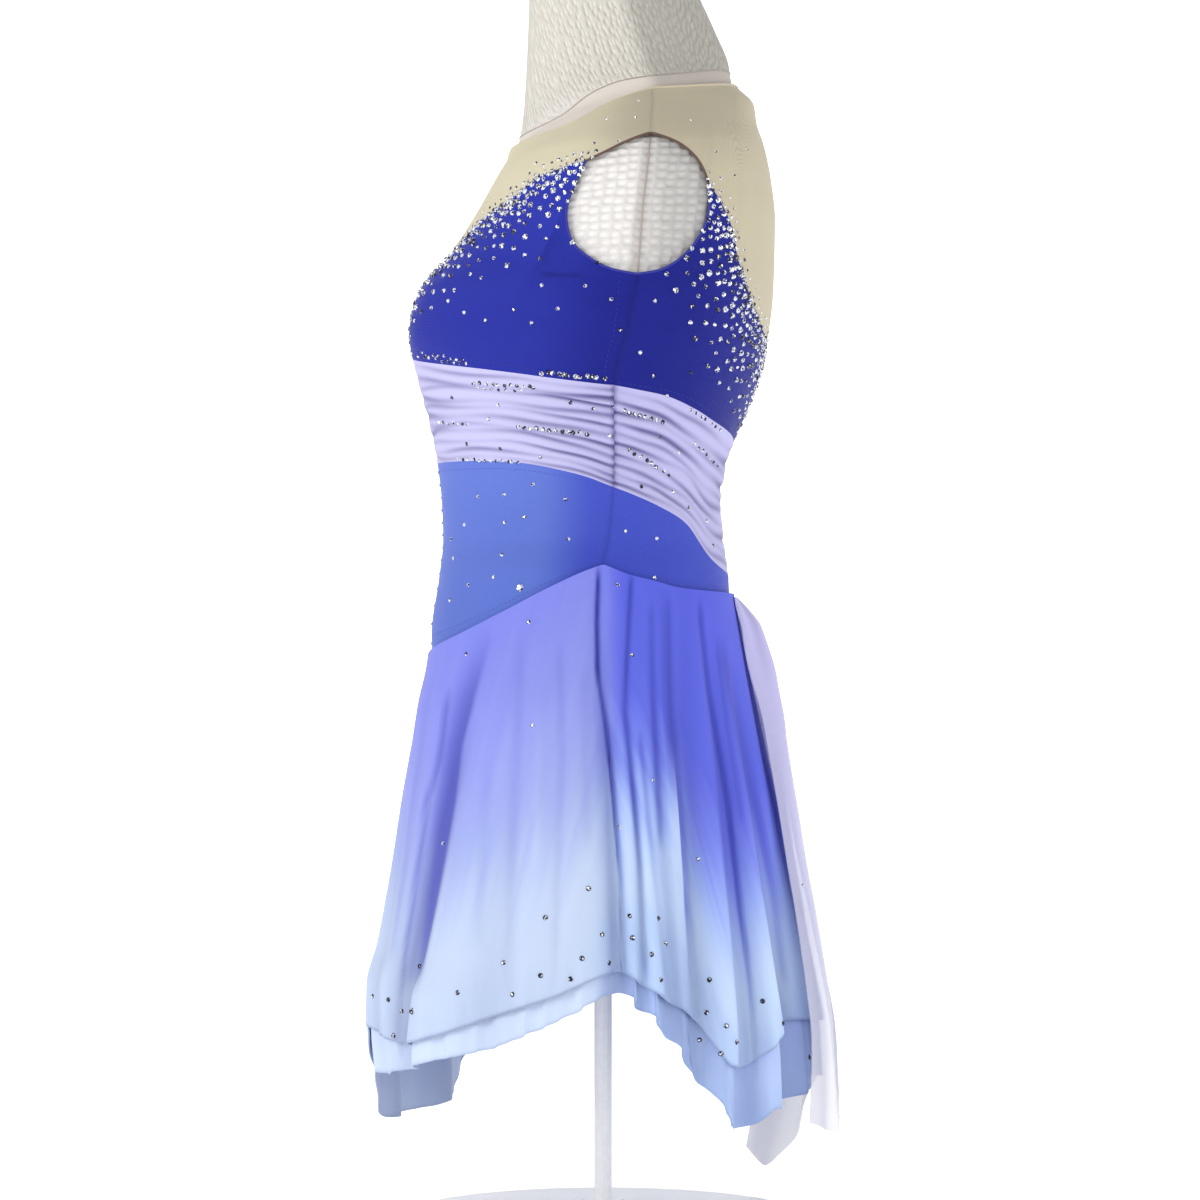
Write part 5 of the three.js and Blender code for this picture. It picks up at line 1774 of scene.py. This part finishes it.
@dataclass
class Tails:
    """The two sheer tails that hang from the back waist, in mm."""

    skirt: Skirt
    tails: tuple[Tail, ...] = (
        Tail("tail_left", 174, 163, 7, 16, 82, -0.1, 13, -1),
        Tail("tail_right", 188.6, 216, 7, 16, 28, 0.6, 44, 1),
    )
    top_z: float = 446.5
    columns: int = 56
    rows: int = 110
    ripple: float = 3.5
    lean: float = 0.12
    seat: float = 0.7
    clear: float = 5.0
    shell: float = 0.6
    wall: float = 1.2
    stand_off: Table = (
        (30, 4), (100, 4), (122, 2), (165, 3.5), (206, 5), (262, 6.5), (300, 8.5), (346, 12.5), (375, 17),
        (400, 20.5), (425, 17), (439, 8), (446.5, 0.7),
    )
    cloths: dict[str, Cloth] = field(default_factory=dict)

    def build(self) -> None:
        """Makes the two tails."""
        off = curve(self.stand_off)
        shape = self.skirt.pattern.shape
        for number, tail in enumerate(self.tails):
            across = np.linspace(-1, 1, self.columns + 1)[:, None]
            share = np.linspace(1, 0, self.rows + 1)[None, :]
            hem_z = tail.tip_z + tail.hem_rise * np.abs(across - tail.tip_aside) ** 1.4
            middle = tail.top_angle + (tail.tip_angle - tail.top_angle) * share
            half = tail.top_half + (tail.tip_half - tail.top_half) * share
            angle = np.radians(middle + across * half)
            z = self.top_z + (hem_z - self.top_z) * share
            ring = shape.ring_at_height(angle, z)
            on_skirt = self.skirt.outline_point(angle, z)
            on_form = shape.point(angle, ring) + shape.normal(angle, ring) * self.skirt.skirt_out
            blend = smooth(share * 4)[..., None]
            base = on_form * (1 - blend) + on_skirt * blend
            base[..., 2] = z
            ripple = self.ripple * np.cos(across * 1.5 * math.pi) * smooth(share * 2)
            fine = 0.9 * np.sin(across * 9 + share * 3 + number) * smooth(share * 2)
            curl = 1.6 * np.sin(across * 7 + number * 2) * smooth((share - 0.85) / 0.15)
            lean = self.lean + (1 - self.lean) * smooth(1 - tail.outer_side * across)
            least = self.seat + (self.clear - self.seat) * smooth(share * 14)
            amount = np.maximum(off(z) * lean + ripple, least) + fine + curl + self.wall
            points = base + self.skirt.outward(angle, z) * amount[..., None]
            # Painted shade in the ripples' troughs and in the gathers at the waist, through the fold mark.
            gathered = 0.5 * bell(share, 0.12) * (0.5 + 0.5 * np.sin(across * 14))
            troughs = np.clip(0.5 - (ripple + fine) / (2 * self.ripple), 0, 1) * smooth(share * 3)
            marks = {
                "dye": 1 - share + np.zeros(z.shape),
                "fold": np.clip(troughs * 0.7 + gathered, 0, 1),
                "round": np.zeros(z.shape),
            }
            self.cloths[tail.name] = Cloth(tail.name, points, grid_normals(points), self.shell, marks)
            wear(self.cloths[tail.name], TAIL_MESH, "sheer_mesh")


@dataclass
class DressForm:
    """The limbless form with its woven cover, in mm."""

    shape: WornShape
    inset: float = 1.8
    columns: int = 180
    foot_round: float = 46
    foot_flat: float = 0.62
    thigh_z: float = 322
    foot_steps: int = 12
    neck_cut_z: float = 884.0
    neck_line: Table = (
        (-70, 765), (-56.3, 769), (-30.9, 778.6), (-8.3, 793.7), (10.9, 801.2), (31.5, 804.7), (54.2, 807.4),
        (83.7, 812.2), (100, 814),
    )

    def build(self) -> None:
        """Makes the form and the seams of its cover."""
        angle = np.linspace(0, 2 * math.pi, self.columns, endpoint=False)[:, None]
        rings = np.concatenate([np.linspace(0, 11, 45), np.linspace(11.12, 20, 84)])[None, :]
        points = self.shape.point(angle, rings) - self.shape.normal(angle, rings) * self.inset
        points[:, -1, 2] = self.neck_cut_z
        tilt = np.linspace(math.pi / 2, 0, self.foot_steps, endpoint=False)
        scale = self.foot_flat + (1 - self.foot_flat) * np.cos(tilt)
        foot = points[:, :1] * np.stack([scale, scale, np.zeros(len(tilt))], -1)[None]
        foot[..., 2] = self.thigh_z - self.foot_round * np.sin(tilt)[None]
        grid = np.concatenate([foot, points], axis=1)
        count, rows = grid.shape[:2]
        ring_of = np.concatenate([np.zeros(self.foot_steps), rings[0]])[None, :] + np.zeros((count, 1))
        steps = np.linalg.norm(np.diff(np.concatenate([grid, grid[:1]]), axis=0), axis=-1)
        around = np.concatenate([np.zeros((1, rows)), np.cumsum(steps, axis=0)])
        across = np.minimum(*(np.abs(around[:-1] - around[k * count // 4][None]) for k in (1, 3)))
        rise = np.linalg.norm(np.diff(grid, axis=1), axis=-1)
        up = np.concatenate([np.zeros((count, 1)), np.cumsum(rise, axis=1)], axis=1)
        line = curve(self.neck_line)
        from_front = np.abs((np.degrees(angle) + 180) % 360 - 180) + np.zeros((1, rows))
        marks = {
            "band": smooth((line(grid[..., 1]) - grid[..., 2]) / 3 + 0.5) * (ring_of > 15),
            "upright": smooth((ring_of - 16.6) / 1.2),
            "seam": bell(across, 1.1) * (ring_of < 15.4) * 0.5,
            # shade: painted shade on the side away from the key light.
            "shade": smooth((from_front - SIDE_LIGHT_ANGLE) / 14),
        }
        index = np.arange(count * rows).reshape(count, rows)
        beside = np.roll(index, -1, axis=0)
        quads = np.stack([index[:, :-1], beside[:, :-1], beside[:, 1:], index[:, 1:]], -1)
        faces = quads.reshape(-1, 4).tolist()
        under, top = count * rows, count * rows + 1
        for low, low_after, high, high_after in zip(index[:, 0], beside[:, 0], index[:, -1], beside[:, -1]):
            faces += [[under, low_after, low], [top, high, high_after]]
        ends = [(0, 0, grid[0, 0, 2]), grid[:, -1].mean(axis=0)]
        mesh = new_mesh("dress_form", np.concatenate([grid.reshape(-1, 3), ends]), faces)
        face_out(mesh, np.zeros(3))
        flat = np.concatenate([np.stack([across.reshape(-1), up.reshape(-1)], -1) * MM, [(0, 0), (0, 0.8)]])
        full = {mark: np.concatenate([values.reshape(-1), [0, 0]]) for mark, values in marks.items()}
        finish_mesh(mesh, flat, full, 50)
        dress(linked("dress_form", mesh), FORM_COVER, "form_cover", "form_torso")
        self._seams(line)

    def _seams(self, line: Monotone) -> None:
        """Lays the ridges of the cover's neck seam and side seams.

        Args:
            line: height of the neck seam over the place towards the back.
        """
        angle = np.linspace(0, 2 * math.pi, 200, endpoint=False)
        ring = np.full(angle.shape, 17.0)
        for _ in range(30):
            points = self.shape.point(angle, ring)
            ring = ring + (line(points[:, 1]) - points[:, 2]) * 0.02
        normals = self.shape.normal(angle, ring)
        path = self.shape.point(angle, ring) - normals * (self.inset - 0.1)
        thing = Trim("cover_neck_seam", 0.8, 0.8).build(path, normals, True)
        dress(thing, COVER_THREAD, "form_cover")
        rings = np.linspace(10.4, 14.6, 60)
        for label, side in (("left", 1), ("right", -1)):
            turn = np.full(rings.shape, side * math.pi / 2)
            normals = self.shape.normal(turn, rings)
            path = self.shape.point(turn, rings) - normals * (self.inset - 0.05)
            thing = Trim(f"cover_side_seam_{label}", 1.1, 0.9).build(path, normals, False)
            dress(thing, COVER_THREAD, "form_cover")


@dataclass
class Trimmings:
    """Bindings, stitches and crystals on the dress, in mm."""

    bodice: Bodice
    skirt: Skirt
    tails: Tails
    binding_sink: float = 0.5
    small: float = 1.55
    dark_stone: float = 1.932
    large: float = 2.9
    # Pixels across and down of single stones, and of rows from end to end with their count and radius
    bodice_stones: Table = (
        (513, 308), (530, 322), (556, 309), (596, 262), (612, 300), (541, 284), (622, 330), (655, 300),
        (640, 352), (690, 372), (668, 396), (585, 285), (486, 321), (462, 312), (447, 300), (655, 376),
    )
    yoke_stones: Table = (
        (586, 152), (560, 160), (607, 118), (637, 116), (640, 100), (690, 120), (716, 150), (735, 176),
        (741, 215), (748, 150), (620, 140),
    )
    sash_rows: Table = (
        (417, 357, 466, 364, 9, 1.5), (420, 353, 462, 360, 8, 1.3), (541, 373, 603, 379, 12, 1.9),
        (474, 383, 534, 388, 11, 1.6), (478, 388, 520, 391, 7, 1.3), (437, 423, 467, 424, 7, 1.4),
        (517, 427, 587, 434, 12, 1.8), (457, 459, 517, 463, 12, 1.4), (624, 411, 662, 422, 8, 1.7),
        (630, 450, 669, 475, 8, 1.6), (696, 444, 719, 466, 7, 1.5), (692, 410, 721, 430, 7, 1.4),
    )
    sash_stones: Table = (
        (497, 405), (572, 403), (595, 409), (614, 408), (487, 419), (467, 444), (539, 457), (501, 449),
        (609, 436), (659, 437), (679, 452), (641, 487), (673, 492), (690, 507), (707, 521), (714, 545),
        (655, 466), (451, 398),
    )
    basque_stones: Table = (
        (477, 496), (504, 493), (534, 485), (565, 500), (463, 523), (503, 523), (523, 517), (569, 539),
        (501, 556), (626, 532), (658, 538), (491, 576), (467, 585), (491, 612), (654, 578), (450, 540),
        (449, 600), (453, 560),
    )
    skirt_pale: Table = (
        (529, 623), (466, 654), (533, 726), (619, 584), (632, 654), (653, 780), (442, 843), (619, 828),
        (698, 858),
    )
    skirt_dark: Table = (
        (419, 965), (458, 994), (373, 994), (393, 1034), (603, 935), (632, 940), (665, 945), (650, 956),
        (581, 958), (611, 964), (662, 979), (709, 980), (707, 1014), (735, 1010), (727, 1027),
        (764, 1001), (785, 1023), (794, 1039), (700, 1039), (738, 1042), (719, 1054), (809, 1056),
        (545, 917), (590, 890), (503, 964), (540, 974), (571, 979), (512, 994), (629, 915), (660, 918),
        (679, 899), (387, 999), (401, 1010),
    )
    tail_stones: Table = ((829, 1079, 1.5, 0.8), (803, 884, 1.4, 0.8), (790, 922, 1.4, 0.8))

    def bindings(self) -> None:
        """Binds the neckline and the armholes."""
        path, normals = self.bodice.neck_path()
        trim = Trim("neck_binding", 2.6, 1.6)
        dress(trim.build(path - normals * self.binding_sink, normals, True), NECK_BINDING, "nude_mesh")
        parts = (("yoke", SHADOWED_ARM_BINDING, "nude_mesh"), ("bodice", ROYAL_BINDING, "royal_jersey"))
        for label in ("left", "right"):
            paths = self.bodice.arm_paths(label == "right")
            for part, finish, slot in parts:
                path, normals = paths[part]
                trim = Trim(f"arm_binding_{part}_{label}", 1.7, 1.7)
                dress(trim.build(path - normals * self.binding_sink, normals, False), finish, slot)

    def stitches(self) -> None:
        """Stitches the seams of the basque and the bodice, across and then at the sides."""
        royal = Stitching("bodice_stitches", ROYAL_THREAD)
        pale = Stitching("basque_stitches", BASQUE_THREAD)
        for stitching, label, row in ((royal, "bodice", 2), (pale, "basque", -3), (pale, "basque", 2)):
            for half in ("front", "back"):
                cloth = self.bodice.cloths[f"{label}_{half}"]
                stitching.run(cloth.points[:, row], cloth.normals[:, row])
        for column in (2, -3):
            for stitching, label in ((royal, "bodice"), (pale, "basque")):
                cloth = self.bodice.cloths[f"{label}_front"]
                stitching.run(cloth.points[column], cloth.normals[column])
        royal.build()
        pale.build()

    def _from_edge(self, cloth: Cloth, row: int) -> Array:
        """Distance of each point of a piece from the bodice's upper edge.

        Args:
            cloth: the piece.
            row: which of its rows lies on that edge.

        Returns:
            The distances in mm.
        """
        middle = len(cloth.points) // 2
        reach = self.bodice.pattern.edge_columns * self.bodice.pattern.fineness
        away = np.full(cloth.points.shape[:2], np.inf)
        for point in cloth.points[middle - reach : middle + reach + 1 : 2, row]:
            away = np.minimum(away, np.linalg.norm(cloth.points - point, axis=-1))
        return away

    def _pair(self, label: str) -> list[Cloth]:
        """Front and back of a piece."""
        cloths = self.bodice.cloths | self.skirt.cloths
        return [cloths[f"{label}_front"], cloths[f"{label}_back"]]

    def crystals(self) -> None:
        """Sets the crystals, piece by piece."""
        cloths, small = self.bodice.cloths, self.small
        upper = Crystals("crystals_bodice")
        for name, row, reach, spacing, radius, seed in (
            ("bodice_front", -1, 56, (3.6, 12.0), (1.7, 2.7), 3),
            ("bodice_back", -1, 58, (4.0, 10.5), (1.7, 2.7), 4),
            ("yoke_front", 0, 14, (2.8, 9.0), (1.1, 1.8), 5),
            ("yoke_back", 0, 12, (2.8, 9.0), (1.1, 1.8), 6),
        ):
            upper.scattered(cloths[name], self._from_edge(cloths[name], row), reach, spacing, radius, seed)
        stones = [(x, y, small, float(k % 3 == 0)) for k, (x, y) in enumerate(self.bodice_stones)]
        upper.at_pixels(self._pair("bodice"), stones)
        upper.at_pixels(self._pair("yoke"), [(x, y, 1.2, 0.0) for x, y in self.yoke_stones])
        upper.build()

        sash = Crystals("crystals_sash")
        stones = []
        for x0, y0, x1, y1, count, radius in self.sash_rows:
            shares = enumerate(np.linspace(0, 1, count))
            stones += [(x0 + (x1 - x0) * s, y0 + (y1 - y0) * s, radius, float(k % 2)) for k, s in shares]
        stones += [(x, y, 1.5, float(k % 2)) for k, (x, y) in enumerate(self.sash_stones)]
        sash.at_pixels(self._pair("sash") + [cloths["bodice_front"]], stones)
        sash.build()

        basque = Crystals("crystals_basque")
        stones = [(x, y, small, 0.0) for x, y in self.basque_stones] + [(519, 588, self.large, 0.0)]
        basque.at_pixels(self._pair("basque"), stones)
        front = cloths["basque_front"]
        middle = len(front.points) // 2
        for k in range(2, front.points.shape[1] - 1, 3):
            basque.add(front.points[middle, k], front.normals[middle, k], 1.5, float(k % 2))
        basque.build()

        skirts = Crystals("crystals_skirt")
        stones = [(x, y, small, 0.2) for x, y in self.skirt_pale]
        stones += [(x, y, self.dark_stone, 1.0) for x, y in self.skirt_dark]
        stones += [(411, 1011, self.large * 0.9, 1.0)]
        skirts.at_pixels(self._pair("skirt") + self._pair("underskirt"), stones)
        skirts.at_pixels([self.tails.cloths["tail_left"]], self.tail_stones, sides=(1,))
        skirts.build()


@dataclass
class Briefs:
    """The attached briefs, kept in the solids' own shape with a finish of the basque's cloth."""

    names: tuple[str, ...] = ("briefs_front", "briefs_back")
    # round 0.6 mixes in most of the darker back dye: painted shade.
    marks: tuple[tuple[str, float], ...] = (("dye", 0.5), ("fold", 0.0), ("round", 0.6))

    def build(self, nodes: dict[str, bpy.types.Object]) -> None:
        """Lays smooth cloth over the briefs' solids.

        Args:
            nodes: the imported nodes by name.
        """
        for name in self.names:
            mesh = nodes[name].data.copy()
            thing = linked(f"{name}_cloth", mesh)
            work = bmesh.new()
            work.from_mesh(mesh)
            bmesh.ops.remove_doubles(work, verts=work.verts, dist=1e-6)
            bmesh.ops.recalc_face_normals(work, faces=work.faces)
            work.to_mesh(mesh)
            work.free()
            while mesh.uv_layers:
                mesh.uv_layers.remove(mesh.uv_layers[0])
            x, y, z = np.array([vertex.co[:] for vertex in mesh.vertices]).T
            flat = np.stack([np.arctan2(x, np.abs(y) + 0.02) * 0.11, z], -1)
            finish_mesh(mesh, flat, {mark: np.full(len(flat), value) for mark, value in self.marks})
            mesh.materials.clear()
            dress(thing, PERIWINKLE_JERSEY, "periwinkle_jersey", name)
            CUTS[name].declare(thing)


@dataclass
class Stand:
    """The painted rods and base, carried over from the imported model."""

    names: tuple[str, ...] = ("stand_rod_left", "stand_rod_right", "stand_base")

    def build(self, nodes: dict[str, bpy.types.Object]) -> None:
        """Paints the stand.

        Args:
            nodes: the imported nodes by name.
        """
        for name in self.names:
            for slot in nodes[name].material_slots:
                slot.material = STAND_PAINT.material()


@dataclass
class Studio:
    """The camera, the soft lights and the pale floor, in metres."""

    floor_radius: float = 4.7
    sky: float = 0.56
    key_power: float = 32.0
    fill_power: float = 8.0
    back_power: float = 17.0
    screen_x: float = -4.6
    screen_width: float = 4.4
    screen_height: float = 3.6
    middle: tuple[float, float, float] = (0.0, 0.0, 0.45)

    def build(self) -> None:
        """Sets up the studio."""
        scene = bpy.context.scene
        scene.view_settings.view_transform = "Standard"
        world = bpy.data.worlds.new("studio")
        scene.world = world
        world.use_nodes = True
        background = world.node_tree.nodes["Background"]
        background.inputs["Color"].default_value = WHITE
        background.inputs["Strength"].default_value = self.sky
        self._camera(scene)
        self._light("key", (1.5, -2.3, 1.5), self.key_power, 1.6)
        self._light("fill", (2.6, 0.9, 1.3), self.fill_power, 2.0)
        self._light("back", (0.3, 2.7, 0.8), self.back_power, 1.6)
        self._floor()
        self._screen()

    def _camera(self, scene: bpy.types.Scene) -> None:
        """Places the camera at the photograph's view."""
        data = bpy.data.cameras.new("camera")
        data.sensor_width = SENSOR_MM
        data.lens = SENSOR_MM * CAMERA_MM / FRAME_MM
        camera = linked("camera", data)
        camera.location = (CAMERA_MM * MM, MIDDLE_Y * MM, MIDDLE_Z * MM)
        camera.rotation_euler = (math.pi / 2, 0, math.pi / 2)
        scene.camera = camera

    def _light(self, name: str, place: tuple[float, float, float], power: float, size: float) -> None:
        """Adds a soft lamp that looks at the middle of the dress."""
        data = bpy.data.lights.new(name, "AREA")
        data.energy, data.size = power, size
        up = unit(np.array(place) - self.middle)
        side = unit(np.cross((0.0, 0.0, 1.0), up))
        turn = Matrix(np.stack([side, np.cross(up, side), up], 1).tolist())
        linked(name, data).matrix_world = Matrix.Translation(place) @ turn.to_4x4()

    def _floor(self) -> None:
        """Lays a round pale floor."""
        turn = np.linspace(0, 2 * math.pi, 96, endpoint=False)
        self._face("floor", np.stack([np.cos(turn), np.sin(turn), np.zeros(96)], -1) * self.floor_radius, 0.55)
        bpy.data.objects["floor"].location.z = -0.0005

    def _screen(self) -> None:
        """Hangs a white screen far behind the dress."""
        half, top = self.screen_width / 2, self.screen_height
        corners = [(self.screen_x, y, z) for y, z in ((-half, -0.01), (half, -0.01), (half, top), (-half, top))]
        self._face("screen", np.array(corners), 0.75)

    def _face(self, name: str, corners: Array, glow: float) -> None:
        """Adds a white face of the stage between corners in metres."""
        mesh = new_mesh(name, corners / MM, [list(range(len(corners)))])
        mesh.materials.append(GlowFinish(name, glow).material())
        linked(name, mesh)


ON_FORM, ON_FRONT, ON_BACK = ("dress_form",), ("basque_front_cloth",), ("basque_back_cloth",)
CUTS: dict[str, Cut] = {
    "yoke_front": Cut(0.37, 0.16, 0.030, "stretched", ON_FORM),
    "yoke_back": Cut(0.36, 0.22, 0.049, "stretched", ON_FORM),
    "bodice_front": Cut(0.38, 0.20, 0.043, "stretched", ON_FORM),
    "bodice_back": Cut(0.33, 0.19, 0.033, "stretched", ON_FORM),
    "sash_front": Cut(0.32, 0.13, 0.038, "gathered", ON_FORM),
    "sash_back": Cut(0.31, 0.15, 0.036, "gathered", ON_FORM),
    "basque_front": Cut(0.34, 0.17, 0.040, "stretched", ON_FORM),
    "basque_back": Cut(0.29, 0.09, 0.011, "stretched", ON_FORM),
    "skirt_front": Cut(0.72, 0.40, 0.154, "hung", ON_FRONT),
    "skirt_back": Cut(0.78, 0.36, 0.146, "hung", ON_BACK),
    "underskirt_front": Cut(0.72, 0.42, 0.163, "hung", ON_FRONT),
    "underskirt_back": Cut(0.78, 0.40, 0.164, "hung", ON_BACK),
    "tail_left": Cut(0.11, 0.38, 0.030, "hung", ON_BACK),
    "tail_right": Cut(0.11, 0.44, 0.028, "hung", ON_BACK),
    "briefs_front": Cut(0.38, 0.30, 0.062, "stretched", ON_FORM),
    "briefs_back": Cut(0.38, 0.30, 0.063, "stretched", ON_FORM),
}


def main() -> None:
    """Builds the dress, its form and the studio."""
    logging.basicConfig(level=logging.INFO, format="%(message)s")
    nodes = frame["nodes"]
    shape = WornShape()
    pattern = Pattern(shape)
    Studio().build()
    DressForm(shape).build()
    bodice = Bodice(pattern)
    bodice.build()
    skirt = Skirt(pattern)
    skirt.build()
    tails = Tails(skirt)
    tails.build()
    Briefs().build(nodes)
    Stand().build(nodes)
    trimmings = Trimmings(bodice, skirt, tails)
    trimmings.bindings()
    trimmings.stitches()
    trimmings.crystals()
    bpy.context.view_layer.update()


if __name__ == "__main__":
    main()
